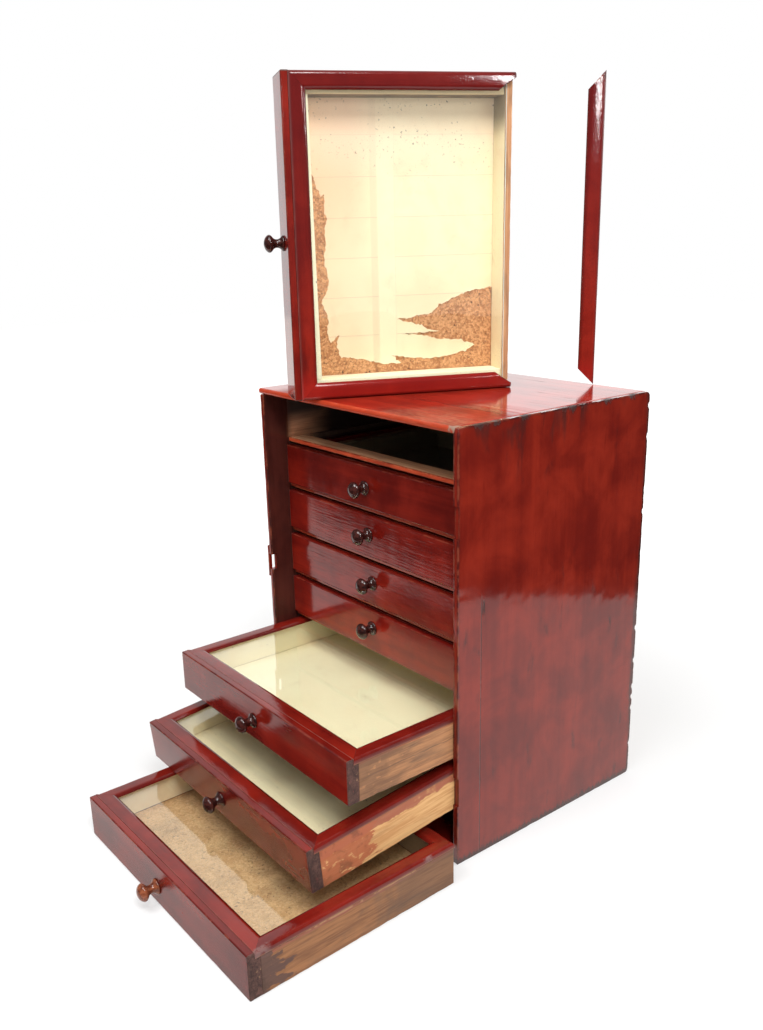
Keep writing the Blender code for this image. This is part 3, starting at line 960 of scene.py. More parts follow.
@dataclass(frozen=True)
class Drawer:
    """One drawer: front, lid of four mitred rails, glass, knob, box, cork and paper."""

    bench: Bench
    number: int
    place: Place
    knob_across: float
    knob_above: float
    wood: WallWood
    lining: Lining
    paper: Paper
    cork: Cork
    turning: Turning
    tone: float
    ribs: float
    gloss: float
    scuffs: tuple[Pair, ...]
    sizes: DrawerSizes
    marks: LidMarks = LidMarks()
    splinter: Colour = (0.38, 0.21, 0.105)
    paper_shade: Colour = (0.15, 0.115, 0.080)
    liner_painted_lit_rim: Colour = (0.66, 0.50, 0.29)

    def recipe(self, part: str) -> Recipe:
        """An empty material for a part of this drawer."""
        return Recipe(f"drawer_{self.number}_{part}", self.place)

    def lay(
        self,
        part: str,
        bm: Mesh,
        material: bpy.types.Material,
        slot: str,
        node: str,
        smooth_levels: int = 0,
    ) -> None:
        """Lays one part of this drawer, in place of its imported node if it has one.

        Args:
            part: its name, without the drawer's number.
            bm: its mesh, which is used up.
            material: its finish.
            slot: the record's material slot.
            node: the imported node's name, without the drawer's.
            smooth_levels: levels of subdivision, for turnings.
        """
        name = f"drawer_{self.number}_{node}"
        nodes = [name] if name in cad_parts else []
        body = "drawer_1_sheet" if name == "drawer_1_glass" else f"drawer_{self.number}"
        self.bench.lay(f"{part}_{self.number}", bm, material, body, slot, nodes, self.place, smooth_levels)

    def build(self) -> None:
        """Builds and dresses every part."""
        self.build_front()
        self.build_lid()
        self.build_glass()
        self.build_knob()
        self.build_box()
        self.build_lining()

    def red(self, grain: Grain, box: Box, seed: float, **changes: Any) -> Shellac:
        """This drawer's red, a little lighter or darker than its neighbours'.

        Args:
            grain: the way of the grain.
            box: the box whose edges are worn.
            seed: the number that picks the pattern, before the drawer's own is added.
            changes: other fields of the finish.

        Returns:
            The finish.
        """
        plain = Shellac(grain, box, seed + self.number, **changes)
        deep, glow = (tuple(part * self.tone for part in tint) for tint in (plain.deep, plain.glow))
        return replace(plain, deep=deep, glow=glow)

    def build_front(self) -> None:
        """The front board, rebated behind its lip, with dark end grain."""
        s = self.sizes
        lower = [(0.0, 0.0), (s.front, 0.0), (s.front, s.wall_top)]
        bm = Stock.prism([*lower, (s.lip, s.wall_top), (s.lip, s.height), (0.0, s.height)], s.half)
        outer = [
            edge
            for edge in bm.edges
            if edge.is_convex and any(vert.co.y < s.lip - TINY for vert in edge.verts)
        ]
        Stock.bevel(bm, outer, 0.0012, 3)
        Stock.slice_up(bm, {0: 0.004})
        box = ((-s.half, 0.0, 0.0), (s.half, s.front, s.height))
        Stock.knock(bm, box, 0.0004, self.number)
        recipe = self.recipe("front")
        x, y, _ = recipe.axes
        skin = self.red(
            Grain.ACROSS, box, 0.3, wear=0.22, smudges=0.25, gloss=self.gloss, pores=0.25, swell=0.10,
            ribs=self.ribs, ripple=0.0,
        ).layer(recipe)
        ragged = recipe.cloud(260.0, self.number, 4.0)
        behind = (y + ragged.wander(0.002)).rise(s.lip, s.lip + 0.001)
        skin = skin.under(behind, BarePine(Grain.ACROSS, self.number).layer(recipe))
        ends = x.size().rise(s.half - 0.0016, s.half - 0.0007) * ragged.rise(0.22, 0.40)
        skin = skin.under(ends, EndGrain(self.number).layer(recipe))
        self.lay("front", bm, recipe.surface(skin), "red_shellac", "front")

    def rail_section(self) -> list[Pair]:
        """The section of a lid's rail, with a round inner edge and the rebate for the glass."""
        s = self.sizes
        ledge, rebate = s.lid_under + s.glass + s.gap, s.rail - s.lap - s.gap
        sight = [(0.0046, 0.0), (0.0028, 0.0005), (0.0012, 0.0014), (0.0003, 0.0025)]
        rounded = [(s.rail - inset, s.height - drop) for inset, drop in sight]
        outer = [(0.0, s.lid_under), (0.0, s.height)]
        return [*outer, *rounded, (s.rail, ledge), (rebate, ledge), (rebate, s.lid_under)]

    def rail(self, length: float, rounding: float, seed: float) -> Mesh:
        """One rail of the lid along the first axis, its outer edge at depth 0, mitred at both ends.

        Args:
            length: its length along the outer edge.
            rounding: the radius of its outer edge.
            seed: the number that picks its wear.

        Returns:
            The mesh.
        """
        s, half = self.sizes, length / 2
        hairline, worn = 0.00004, 0.0012
        bm = Stock.prism(self.rail_section(), half)
        outer = Stock.between(bm, lambda co: co.y < TINY and co.z > s.height - TINY)
        Stock.bevel(bm, outer, rounding, 6)
        Stock.slice_up(bm, {0: 0.005})
        for way in (-1.0, 1.0):
            Stock.cut(bm, (way * (half - hairline), 0.0, 0.0), (way, 1.0, 0.0), trim=True)
        bm.normal_update()
        for vert in bm.verts:
            if vert.co.z > s.height - worn:
                vert.co.z += 0.00012 * noise.noise(vert.co * 60.0 + Vector((seed, seed, 0.0)))
            if vert.co.y < worn and vert.co.z > s.height - worn:
                bite = max(0.0, noise.noise(vert.co * 240.0 + Vector((0.0, seed, seed))))
                vert.co -= vert.normal * (0.0004 * bite)
        return bm

    def lid_rails(self) -> list[Mesh]:
        """The four rails of the lid, each in its place: front, right, left and back."""
        s = self.sizes
        deep = s.depth - s.lid_front
        middle = s.lid_front + deep / 2
        close, round_over = 0.0003, 0.0036
        turns = [
            (2 * s.half, close, 0.0, (0.0, s.lid_front, 0.0)),
            (deep, round_over, 90.0, (s.half, middle, 0.0)),
            (deep, round_over, -90.0, (-s.half, middle, 0.0)),
            (2 * s.half, round_over, 180.0, (0.0, s.depth, 0.0)),
        ]
        rails = []
        for number, (length, rounding, angle, foot) in enumerate(turns):
            bm = self.rail(length, rounding, 7.0 * self.number + number)
            spin = Matrix.Translation(foot) @ Matrix.Rotation(math.radians(angle), 4, "Z")
            bmesh.ops.transform(bm, matrix=spin, verts=bm.verts)
            rails.append(bm)
        return rails

    def lid_skin(self, part: str) -> bpy.types.Material:
        """The lid's red, with the grain along each rail and dark lines at the mitres.

        Args:
            part: the name of the part that it dresses.

        Returns:
            The material.
        """
        s, marks, recipe = self.sizes, self.marks, self.recipe(part)
        x, y, z = recipe.axes
        from_side = s.half - x.size()
        from_end = (s.depth - s.lid_front) / 2 - (y - (s.lid_front + s.depth) / 2).size()
        inset, mitre = from_end.least(from_side), from_end - from_side
        finish = {"wear": 0.16, "smudges": 0.3, "peel": 1.0, "lined": 0.15}
        along = self.red(Grain.DEEP, s.lid_box, 2.9, **finish).layer(recipe)
        skin = self.red(Grain.ACROSS, s.lid_box, 1.3, **finish).layer(recipe)
        skin = skin.under(mitre.rise(-0.0001, 0.0001), along)
        skin = skin.tint(mitre.size().rise(0.0004, 0.0001) * 0.45, marks.mitre)
        skin = skin.tint(inset.rise(s.rail - 0.0040, s.rail - 0.0012) * 0.45, marks.sight_edge)
        skin = skin.tint(z.rise(s.lid_under + 0.0012, s.lid_under + 0.0004) * 0.7, marks.raw_under)
        dots = recipe.cloud(110.0, self.number, 4.0).rise(0.40, 0.66)
        joint = y.rise(s.lid_front + 0.0010, s.lid_front + 0.0003) * (0.12 + dots * 0.18)
        rim = 0.0034 if self.number == 1 else 0.0010
        outside = inset.rise(rim, 0.1 * rim)
        skin = skin.tint(joint, marks.lip_joint).tint(outside * 0.30, marks.rim)
        if self.number == 1:
            tips = y.rise(s.depth - 0.0040, s.depth - 0.0010) * from_side.rise(0.010, 0.006)
            skin = skin.tint(tips * 0.75, marks.bare_tip)
            # The first drawer's lid stands on end: painted shade darkens its upper part, painted light
            # brightens its lower rail.
            skin = skin.tint(x.rise(0.13, -0.14) * 0.56, marks.painted_shade_side)
            skin = skin.tint(x.rise(0.115, 0.135) * 0.40, marks.painted_light_side)
        rough = skin.roughness + outside * 0.30
        grit = recipe.cloud(190.0, 30.0 + self.number, 5.0)
        for depth, size in self.scuffs:
            scuff = ((y - depth).size() + grit.wander(0.02)).rise(0.0130 * size, 0.0060 * size)
            scuff = scuff * (from_side + grit.wander(0.012 * size)).rise(0.0052 * size, 0.0034 * size)
            scuff = scuff * x.rise(0.0, 0.01) * grit.rise(0.40, 0.52)
            skin = skin.tint(scuff * 0.55, marks.scuff)
            rough = rough + scuff * 0.25
        return recipe.surface(replace(skin, roughness=rough))

    def build_lid(self) -> None:
        """The lid's rails as one piece. The first drawer's lid has lost its back rail."""
        s, rails = self.sizes, self.lid_rails()
        tip, slack = 0.0060, 0.0004
        if self.number == 1:
            rails.pop().free()
            for vert in (vert for bm in rails[1:] for vert in bm.verts):
                inset = s.half - abs(vert.co.x)
                if inset < tip and abs(vert.co.y + inset - s.depth) < slack:
                    vert.co.y = s.depth
        self.lay("lid", Stock.joined(rails), self.lid_skin("lid"), "red_shellac", "lid")

    def build_glass(self) -> None:
        """The sheet of glass under the lid."""
        s = self.sizes
        side = s.half - s.rail + s.lap
        low = (-side, s.lid_front + s.rail - s.lap, s.lid_under)
        box = (low, (side, s.depth - s.rail + s.lap_back, s.lid_under + s.glass))
        material = SheetGlass(box, self.number).material(self.recipe("pane"))
        self.lay("pane", Stock.board(box, 0.0002, 1), material, "old_glass", "glass")

    def build_knob(self) -> None:
        """The turned knob: a domed head on a thin neck, with a flange against the front."""
        s = self.sizes
        head = [
            (0.0, 0.0), (0.0034, 0.0005), (0.0062, 0.0018), (0.0081, 0.0039), (0.0086, 0.0056),
            (0.0078, 0.0073), (0.0058, 0.0087),
        ]
        neck = [
            (0.0043, -0.0088), (0.0039, -0.0068), (0.0041, -0.0048), (0.0051, -0.0030), (0.0066, -0.0020),
            (0.0074, -0.0014), (0.0074, -0.0003), (0.0070, -0.0001), (0.0, -0.0001),
        ]
        bm = Stock.turned([*((radius, along - s.knob) for radius, along in head), *neck], 28)
        middle = (self.knob_across, 0.0, s.height / 2 + self.knob_above)
        bmesh.ops.translate(bm, vec=middle, verts=bm.verts)
        material = self.turning.material(self.recipe("knob"))
        self.lay("knob", bm, material, "dark_shellac", "knob", smooth_levels=2)

    def wall_skin(self, part: str, grain: Grain) -> bpy.types.Material:
        """Bare pine with the stain that ran down from the lid and back from the front.

        Args:
            part: the name of the part that it dresses.
            grain: the way of its grain.

        Returns:
            The material.
        """
        s, wood, recipe, seed = self.sizes, self.wood, self.recipe(part), self.number
        _, y, z = recipe.axes
        draw = wood.pine.draw if grain is Grain.DEEP else 0.016
        skin = replace(wood.pine, grain=grain, draw=draw).layer(recipe)
        slow = recipe.cloud(42.0, seed, 5.0, 0.3, Grain.UPRIGHT.drawn_out(0.4))
        patchy = recipe.cloud(75.0, seed + 3.0, 5.0, 0.5)
        edge = s.wall_top - wood.drip
        run = (z + slow.wander(2.0 * wood.drip_wander)).rise(edge - 0.0006, edge + 0.0006)
        run = run * patchy.rise(0.20, 0.42) * wood.drip_share
        drawn = recipe.cloud(130.0, seed + 6.0, 5.0, 0.4, Grain.DEEP.drawn_out(0.22))
        back = y + drawn.wander(0.11) + patchy.wander(0.04)
        spread = back.rise(wood.front_reach + wood.front_soft, wood.front_reach - wood.front_soft)
        chips = recipe.cloud(210.0, seed, draw=Grain.DEEP.drawn_out(0.5)).rise(0.60, 0.66)
        pooled = tuple(part * 0.42 for part in wood.front_stain)
        tint = recipe.blend(patchy.rise(0.50, 0.66) * 0.75, wood.front_stain, pooled)
        skin = skin.tint(run, wood.stain).tint(spread * (1.0 - chips * 0.8) * wood.front_share, tint)
        # Darker towards the back of the walls.
        far = (y + patchy.wander(0.14)).rise(0.100, 0.170) * wood.back_share
        torn = recipe.cloud(120.0, seed + 9.0, 4.0, draw=Grain.DEEP.drawn_out(0.16))
        split = (z + torn.wander(0.009)).rise(s.wall_top - 0.0011, s.wall_top - 0.0005)
        split = split * slow.rise(0.47, 0.53) * wood.splinters
        skin = skin.tint(far, wood.pine.grime).tint(split, self.splinter)
        if wood.crack:
            line = (z - wood.crack + slow.wander(0.006)).size().rise(0.0008, 0.0002)
            line = line * y.rise(0.012, 0.02) * y.rise(0.17, 0.14)
            skin = skin.tint(line * 0.55, wood.pine.grime)
        return recipe.surface(replace(skin, roughness=skin.roughness - run * 0.25))

    def build_box(self) -> None:
        """Two sides, a back between them and a bottom, with paper on the inner faces."""
        s = self.sizes
        start, back, side = s.front + HAIR, s.room_back, s.inside - HAIR
        sides = self.wall_skin("sides", Grain.DEEP)
        ends = self.wall_skin("ends", Grain.ACROSS)
        boards = {
            "left_wall": ((-s.half, start, 0.0), (-s.inside, s.box_back, s.wall_top), sides, Grain.DEEP),
            "right_wall": ((s.inside, start, 0.0), (s.half, s.box_back, s.wall_top), sides, Grain.DEEP),
            "back_wall": ((-side, back, 0.0), (side, s.box_back, s.wall_top), ends, Grain.ACROSS),
            "bottom": ((-side, start, 0.0), (side, back - HAIR, s.bottom), ends, Grain.ACROSS),
        }
        for part, (low, high, skin, grain) in boards.items():
            bm = Stock.board((low, high), 0.0006, 2, {grain.value: 0.005}, 0.0008, seed=3.0 * self.number)
            self.lay(part, bm, skin, "bare_pine", "box")
        self.build_wall_paper()

    def build_wall_paper(self) -> None:
        """Strips of paper pasted on the inner faces of the walls and of the front."""
        s, thick, hair, short = self.sizes, 0.0003, 0.00006, 0.0006
        floor, top = s.cork_top + s.paper + s.gap, s.wall_top - short
        start, back, side = s.front + s.gap + hair, s.room_back - hair, s.inside - hair
        strips = {
            "left_paper": ((-side, start + thick, floor), (-side + thick, back - thick, top), Grain.DEEP),
            "right_paper": ((side - thick, start + thick, floor), (side, back - thick, top), Grain.DEEP),
            "front_paper": ((-side, start, floor), (side, start + thick, top - short), Grain.ACROSS),
            "back_paper": ((-side, back - thick, floor), (side, back, top), Grain.ACROSS),
        }
        recipe = self.recipe("wall_paper")
        x, y, _ = recipe.axes
        skin = Paper(self.paper.seed + 9.0, self.paper.cream, self.paper.aged, age=0.7).layer(recipe)
        # Painted shade: the first drawer's wall paper darkens towards its upper end, the eighth's towards its
        # back.
        shades = {1: x.rise(-0.088, -0.114) * 0.8, 8: y.rise(s.depth - 0.03, s.depth - 0.015) * 0.85}
        if self.number in shades:
            skin = skin.tint(shades[self.number], self.paper_shade)
        material = recipe.surface(skin)
        for part, (low, high, way) in strips.items():
            bm = Stock.board((low, high), 0.00008, 1, {way.value: 0.01})
            self.lay(part, bm, material, "cream_paper", "paper")

    def build_liners(self) -> None:
        """Strips along three walls of the torn drawer, a little inside the lid's opening: two cream ones, and
        a high one painted dark as shade, with a painted lit rim along its edge by the glass.
        """
        s, skew = self.sizes, 0.0125
        floor, top = s.cork_top + s.paper + 0.0014, s.lid_under - 0.0022
        side, sight = s.inside - 0.0005, s.half - s.rail
        start, back = s.front + s.gap + 0.0005, s.room_back - 0.0006
        inner = s.lid_front + s.rail + 0.0040
        bright = Paper(self.paper.seed + 5.0, cream=(0.95, 0.87, 0.63), aged=(0.90, 0.76, 0.48), age=0.3)
        clean = bright.material(self.recipe("liner"))
        # The high liner: dark paper as painted shade, with a painted lit rim along its edge by the glass.
        recipe = self.recipe("liner_in_painted_shade")
        shade_painted_paper = Paper(self.paper.seed + 3.0, cream=(0.19, 0.140, 0.085), aged=(0.11, 0.080, 0.050), age=0.8)
        rim = recipe.axes[2].rise(top - 0.0030, top - 0.0010)
        shade_painted_liner = recipe.surface(shade_painted_paper.layer(recipe).tint(rim, self.liner_painted_lit_rim))
        strips = {
            "low_liner": ((sight - 0.0024, start, floor), (side, back, top), clean, Grain.DEEP),
            "high_liner": ((-side, start, floor), (0.0027 - sight, back, top), shade_painted_liner, Grain.DEEP),
            "front_liner": (
                (0.0028 - sight, start, floor), (sight - 0.0025, inner, top), clean, Grain.ACROSS
            ),
        }
        for part, (low, high, skin, way) in strips.items():
            bm = Stock.board((low, high), 0.0007, 2, {way.value: 0.008})
            if part == "front_liner":
                for vert in (vert for vert in bm.verts if vert.co.y > inner - 0.002):
                    vert.co.y += vert.co.x * skew
            self.lay(part, bm, skin, "cream_paper", "paper")

    def build_lining(self) -> None:
        """The cork sheet on the bottom, and the paper over it."""
        s = self.sizes
        side, start, back = s.inside - s.gap, s.front + s.gap, s.room_back - s.gap
        bm = Stock.board(((-side, start, s.bottom + s.gap), (side, back, s.cork_top)), 0.0002, 1)
        self.lay("cork", bm, self.cork.material(self.recipe("cork")), "cork_sheet", "lining")
        if self.lining is Lining.CORK:
            return
        torn = [(start, -side), (back, -side)]
        if self.lining is Lining.TORN_PAPER:
            torn = TornSheet(start, back).outline()
            self.build_liners()
        bm = self.sheet([(start, side), *torn, (back, side)], s.cork_top + HAIR)
        self.lay("paper", bm, self.paper.material(self.recipe("paper")), "cream_paper", "paper")

    def sheet(self, corners: Sequence[Pair], height: float) -> Mesh:
        """A sheet of paper with a ragged outline, lifted a little where it is torn.

        Args:
            corners: its outline, as depth and distance to the left of the middle.
            height: the height of its underside.

        Returns:
            The mesh.
        """
        s = self.sizes
        side, start, back = s.inside - s.gap - 0.001, 0.014, s.room_back - 0.002
        bm = bmesh.new()
        bm.faces.new([bm.verts.new((-left, deep, height)) for deep, left in corners])
        for length, cuts in ((0.004, 3), (0.002, 2)):
            long_edges = [edge for edge in bm.edges if edge.calc_length() > length]
            bmesh.ops.subdivide_edges(bm, edges=long_edges, cuts=cuts)
        for vert in bm.verts:
            if abs(vert.co.x) < side and start < vert.co.y < back:
                spot = vert.co.copy()
                for scale, depth in ((330.0, 0.0016), (1100.0, 0.0008)):
                    vert.co.x += depth * noise.noise(spot * scale)
                    vert.co.y += depth * noise.noise(spot * scale + Vector((5.0, 0.0, 0.0)))
        Stock.slice_up(bm, {0: 0.009, 1: 0.009})
        for vert in {vert for edge in bm.edges if edge.is_boundary for vert in edge.verts}:
            if abs(vert.co.x) < side and start < vert.co.y < back:
                vert.co.z += 0.00075 * max(0.0, 0.3 + noise.noise(vert.co * 110.0))
        Stock.push(bm, (0.0, 0.0, s.paper))
        return bm


@dataclass(frozen=True)
class TornSheet:
    """The torn lining of the first drawer, between the front and the back of its box."""

    start: float
    back: float

    def outline(self) -> list[Pair]:
        """The torn edge, as depth and distance to the left of the middle, listed in millimetres."""
        left = [
            (32.0, 64.0), (33.8, 55.0), (38.8, 42.0), (42.5, 43.8), (42.5, 27.5), (44.3, 21.0),
            (42.0, 10.0), (43.0, 0.0), (40.0, -20.0), (43.0, -28.8), (44.3, -41.3), (40.5, -50.0),
            (35.8, -57.5), (41.3, -67.5), (42.0, -76.3), (40.8, -88.8), (45.0, -96.3), (52.0, -89.5),
        ]
        low = [
            (50.5, -101.3), (55.0, -111.3), (67.5, -112.5), (87.5, -117.5), (95.0, -120.0),
            (117.5, -120.5), (106.0, -112.0), (125.0, -115.0), (145.0, -117.5), (165.0, -115.5),
            (185.0, -111.3), (195.0, -106.3),
        ]
        tongue = [
            (180.0, -100.0), (155.0, -97.5), (140.0, -93.5), (117.5, -91.0), (145.0, -90.8),
            (157.0, -90.5), (145.0, -87.5), (135.0, -82.5), (112.5, -76.3), (127.5, -75.0),
            (147.5, -72.5), (157.5, -63.8), (170.0, -58.8), (187.5, -52.0), (202.5, -49.5),
        ]
        torn = [(deep / 1000, side / 1000) for deep, side in left + low + tongue]
        return [(self.start, 0.066), *torn, (self.back, -0.049)]


@dataclass(frozen=True)
class LooseRail:
    """The first drawer's back rail, stood on the point of its mitre."""

    drawer: Drawer
    place: Place

    def build(self) -> None:
        """Builds and dresses the rail."""
        *others, bm = self.drawer.lid_rails()
        for other in others:
            other.free()
        material = replace(self.drawer, place=self.place).lid_skin("back_rail")
        nodes = ["drawer_1_back_rail"]
        self.drawer.bench.lay("back_rail", bm, material, "loose_rail", "red_shellac", nodes, self.place)


@dataclass(frozen=True)
class Carcase:
    """The boards, the keeper and the dust frames."""

    bench: Bench
    half: float = 0.1534
    inner: float = 0.1474
    front: float = -0.12765
    back: float = 0.12765
    back_inside: float = 0.12165
    height: float = 0.4197
    top_under: float = 0.4137
    base: float = 0.0090
    nose: float = 0.0030
    dado: float = 0.0020
    gap: float = 0.0003
    frame_front: float = -0.09735
    frame_thick: float = 0.0045
    frame_rail: float = 0.0210
    frame_runner: float = 0.0065
    pitch: float = 0.0506
    keeper_drop: float = 0.194
    soot: Colour = (0.026, 0.011, 0.010)
    fine_crack: Colour = (0.06, 0.012, 0.010)
    long_crack: Colour = (0.05, 0.012, 0.010)
    bare_corner: Colour = (0.24, 0.180, 0.140)
    dust: Colour = (0.40, 0.140, 0.085)
    top_painted_shade: Colour = (0.13, 0.012, 0.008)
    worn_and_lit_nose: Colour = (0.46, 0.060, 0.022)
    slot_shade: Colour = (0.026, 0.0115, 0.0095)
    frame_shade: Colour = (0.034, 0.015, 0.012)
    board_seam: Colour = (0.03, 0.018, 0.012)

    def floor(self, number: int) -> float:
        """The height of a drawer's runners."""
        return self.base + (8 - number) * self.pitch

    def build(self) -> None:
        """Builds and dresses every board."""
        self.build_top()
        self.build_right()
        self.build_left()
        self.build_base_and_back()
        self.build_keeper()
        for number in range(1, 8):
            self.build_frame(number)

    def shaded_inside_wood(self, recipe: Recipe, seed: float) -> Layer:
        """The bare wood of the inside, darkened almost to black as painted shade of the closed carcase."""
        pale, dark = (0.034, 0.022, 0.012), (0.014, 0.009, 0.005)
        return BarePine(Grain.DEEP, seed, pale, dark, dirt=0.3).layer(recipe)

    def side_red(self, box: Box, seed: float, **changes: Any) -> Shellac:
        """The red of the outer faces of the sides, with slow waves in the shellac."""
        plain = Shellac(Grain.UPRIGHT, box, seed, (0.104, 0.0060, 0.0036), (0.205, 0.0150, 0.0064))
        return replace(plain, reach=0.0022, figure=0.33, swell=2.2, ripple=2.4, **changes)

    def past_front(self, recipe: Recipe) -> Sock:
        """The inside, past the stained strip along the front."""
        return recipe.axes[1].rise(self.frame_front - 0.004, self.frame_front + 0.006)

    def within(self, recipe: Recipe) -> Sock:
        """The inner faces of the sides, past the stained strip."""
        skin = self.inner + 0.0006
        return recipe.axes[0].size().rise(skin + 0.0004, skin) * self.past_front(recipe)

    def build_top(self) -> None:
        """The top, over the left side, with a round nose and a chipped front corner."""
        low = (-self.half - self.nose, self.front, self.top_under)
        high = (self.inner + self.dado - self.gap, self.back, self.height)
        bm = Stock.board((low, high), 0.0024, 4, {0: 0.004, 1: 0.004}, depth=0.0007, seed=1.0)
        recipe = Recipe("top_skin")
        x, y, z = recipe.axes
        skin = Shellac(
            Grain.ACROSS, (low, high), 11.0, deep=(0.17, 0.0095, 0.0055), glow=(0.36, 0.023, 0.0105),
            worn=(0.60, 0.085, 0.036), wear=0.5, reach=0.0020, gloss=0.10, lined=0.15,
        ).layer(recipe)
        # The underside, past the front, takes the inside wood with its painted shade.
        under = z.rise(self.top_under + 0.0006, self.top_under + 0.0002)
        under = under * y.rise(self.front + 0.02, self.front + 0.03)
        skin = skin.under(under, self.shaded_inside_wood(recipe, 5.0))
        cracks = recipe.cloud(75.0, 2.0, 2.0, draw=Grain.ACROSS.drawn_out(0.02))
        crack = cracks.near(0.5, 0.006, 0.001) * 0.55
        skin = skin.tint(crack, self.fine_crack)
        for depth, start, end in ((-0.0905, -0.02, 0.10), (-0.1010, 0.03, 0.15)):
            line = (y - depth + cracks.wander(0.004)).size().rise(0.0007, 0.0002)
            line = line * x.rise(start, start + 0.02) * x.rise(end, end - 0.02)
            crack = crack.most(line * 0.8)
        corner = recipe.vector("DISTANCE", recipe.local, (high[0], low[1], high[2]), "Value")
        chipped = (corner + recipe.cloud(240.0, 12.0, 5.0).wander(0.02)).rise(0.0085, 0.0060)
        skin = skin.tint(crack, self.long_crack).tint(chipped * 0.85, self.bare_corner)
        dull = (y + cracks.wander(0.10)).rise(-0.015, -0.080) * 0.66 * x.rise(-0.140, -0.105)
        grit = recipe.cloud(420.0, 14.0, 5.0, draw=Grain.ACROSS.drawn_out(0.25))
        # A pale speckle towards the front right: partly dust, partly painted sheen.
        dust = x.rise(0.0, 0.10) * y.rise(-0.060, -0.105) * grit.rise(0.36, 0.70) * 0.34
        # Painted shade: darker in a band through the middle, about the standing first drawer.
        middle = x.near(-0.01, 0.090, 0.020) * y.rise(self.front + 0.004, self.front + 0.02)
        # The nose is a brighter orange red: partly worn shellac, partly painted light on its rounding.
        nose = y.rise(self.front + 0.0036, self.front + 0.0016) * 0.5 * (1.0 - chipped)
        skin = skin.tint(dust, self.dust).tint(middle * 0.35, self.top_painted_shade).tint(nose, self.worn_and_lit_nose)
        skin = replace(skin, roughness=skin.roughness + chipped * 0.3, relief=skin.relief - crack * 0.00008)
        coat = (1.0 - dull.most(chipped)) * (1.0 - crack)
        material = recipe.surface(skin, Specular_IOR_Level=0.0, Coat_Weight=coat, Coat_Roughness=0.11)
        self.bench.lay("top", bm, material, "carcase", "red_shellac", ["top_board"])

    def build_right(self) -> None:
        """The right side: let-in top, hinge mortises, a shrinkage crack and nicked edges."""
        box = ((self.inner, self.front, 0.0), (self.half, self.back, self.height))
        nicks = (-0.103, -0.083, -0.048, 0.014, 0.064, 0.101)
        bm = self.right_board(box, nicks)
        recipe = Recipe("right_skin")
        _, y, z = recipe.axes
        skin = self.side_red(box, 21.0, wear=0.3, smudges=0.85, ribs=1.2, lined=0.7).layer(recipe)
        crack = y.near(-0.099, 0.0007, 0.0002) * z.rise(0.270, 0.255)
        scar = y.near(-0.0965, 0.0028, 0.0010) * z.near(0.249, 0.016, 0.010)
        fibre = recipe.cloud(300.0, 6.0, draw=Grain.UPRIGHT.drawn_out(0.2))
        mark = (crack * 0.80).most(scar * fibre.rise(0.42, 0.55) * 0.8)
        runs = recipe.cloud(85.0, 3.0, 4.0, draw=Grain.UPRIGHT.drawn_out(0.10))
        places = recipe.cloud(34.0, 4.0, draw=Grain.UPRIGHT.drawn_out(0.5)).rise(0.50, 0.60)
        smear = (z + runs.wander(0.10)).rise(0.392, 0.432) * places * 0.8
        foot = (z + fibre.wander(0.014)).rise(0.0080, 0.0025) * 0.85
        heel = (y + runs.wander(0.014)).rise(self.back - 0.0065, self.back - 0.0020) * 0.7
        top_edge = (z + fibre.wander(0.016)).rise(self.height - 0.0060, self.height - 0.0030)
        for depth in nicks:
            nick = ((y - depth).size() + fibre.wander(0.016)).rise(0.0060, 0.0030)
            smear = smear.most(nick * top_edge * 0.9)
        skin = skin.tint(mark.most(foot).most(smear).most(heel), self.soot)
        rough = skin.roughness + mark * 0.2 + smear * top_edge * 0.3
        skin = replace(skin, roughness=rough, relief=skin.relief - mark * 0.00015)
        # The inner face, past the front strip, takes the inside wood with its painted shade.
        skin = skin.under(self.within(recipe), self.shaded_inside_wood(recipe, 7.0))
        self.bench.lay("right_board", bm, recipe.surface(skin), "carcase", "red_shellac", ["right_side"])

    def right_board(self, box: Box, nicks: Sequence[float]) -> Mesh:
        """Cuts the right side.

        Args:
            box: its lowest and its highest corner.
            nicks: the depths of the nicks in its top edge.

        Returns:
            The mesh.
        """
        bm = Stock.block(*box)
        for corner, radius in ((self.height, 0.0055), (0.0, 0.0045)):
            across = Stock.between(bm, lambda co: abs(co.y - self.back) + abs(co.z - corner) < TINY)
            Stock.bevel(bm, across, radius, 6)
        arris = Stock.between(bm, lambda co: co.x > self.half - TINY and co.z > self.height - TINY)
        Stock.bevel(bm, arris, 0.0026, 1)
        Stock.bevel(bm, [edge for edge in bm.edges if edge.calc_face_angle() > 0.8], 0.0019, 4)
        Stock.slice_up(bm, {2: 0.0025, 1: 0.005})
        step, shoulder = self.inner + self.dado, self.top_under - self.gap
        Stock.cut(bm, (step, 0.0, 0.0), (1.0, 0.0, 0.0))
        for vert in bm.verts:
            if vert.co.x < step - TINY and vert.co.z > shoulder:
                vert.co.z = shoulder
        for middle in (self.height - 0.082, 0.077):
            Stock.notch(bm, self.front, middle, tall=0.0290, deep=0.0016)
        for height in (0.406, 0.375, 0.298, 0.171, 0.134, 0.103, 0.091, 0.078, 0.035):
            Stock.chip(bm, (self.half, self.back, height), 0.0036, (-0.0006, -0.0010, 0.0))
        for depth in nicks:
            Stock.chip(bm, (self.half, depth, self.height), 0.0045, (-0.0011, 0.0, -0.0010))
        Stock.chip(bm, (self.half, self.front, self.height), 0.0060, (-0.0012, 0.0014, -0.0012))
        Stock.knock(bm, box, 0.0006, 2.0)
        return bm

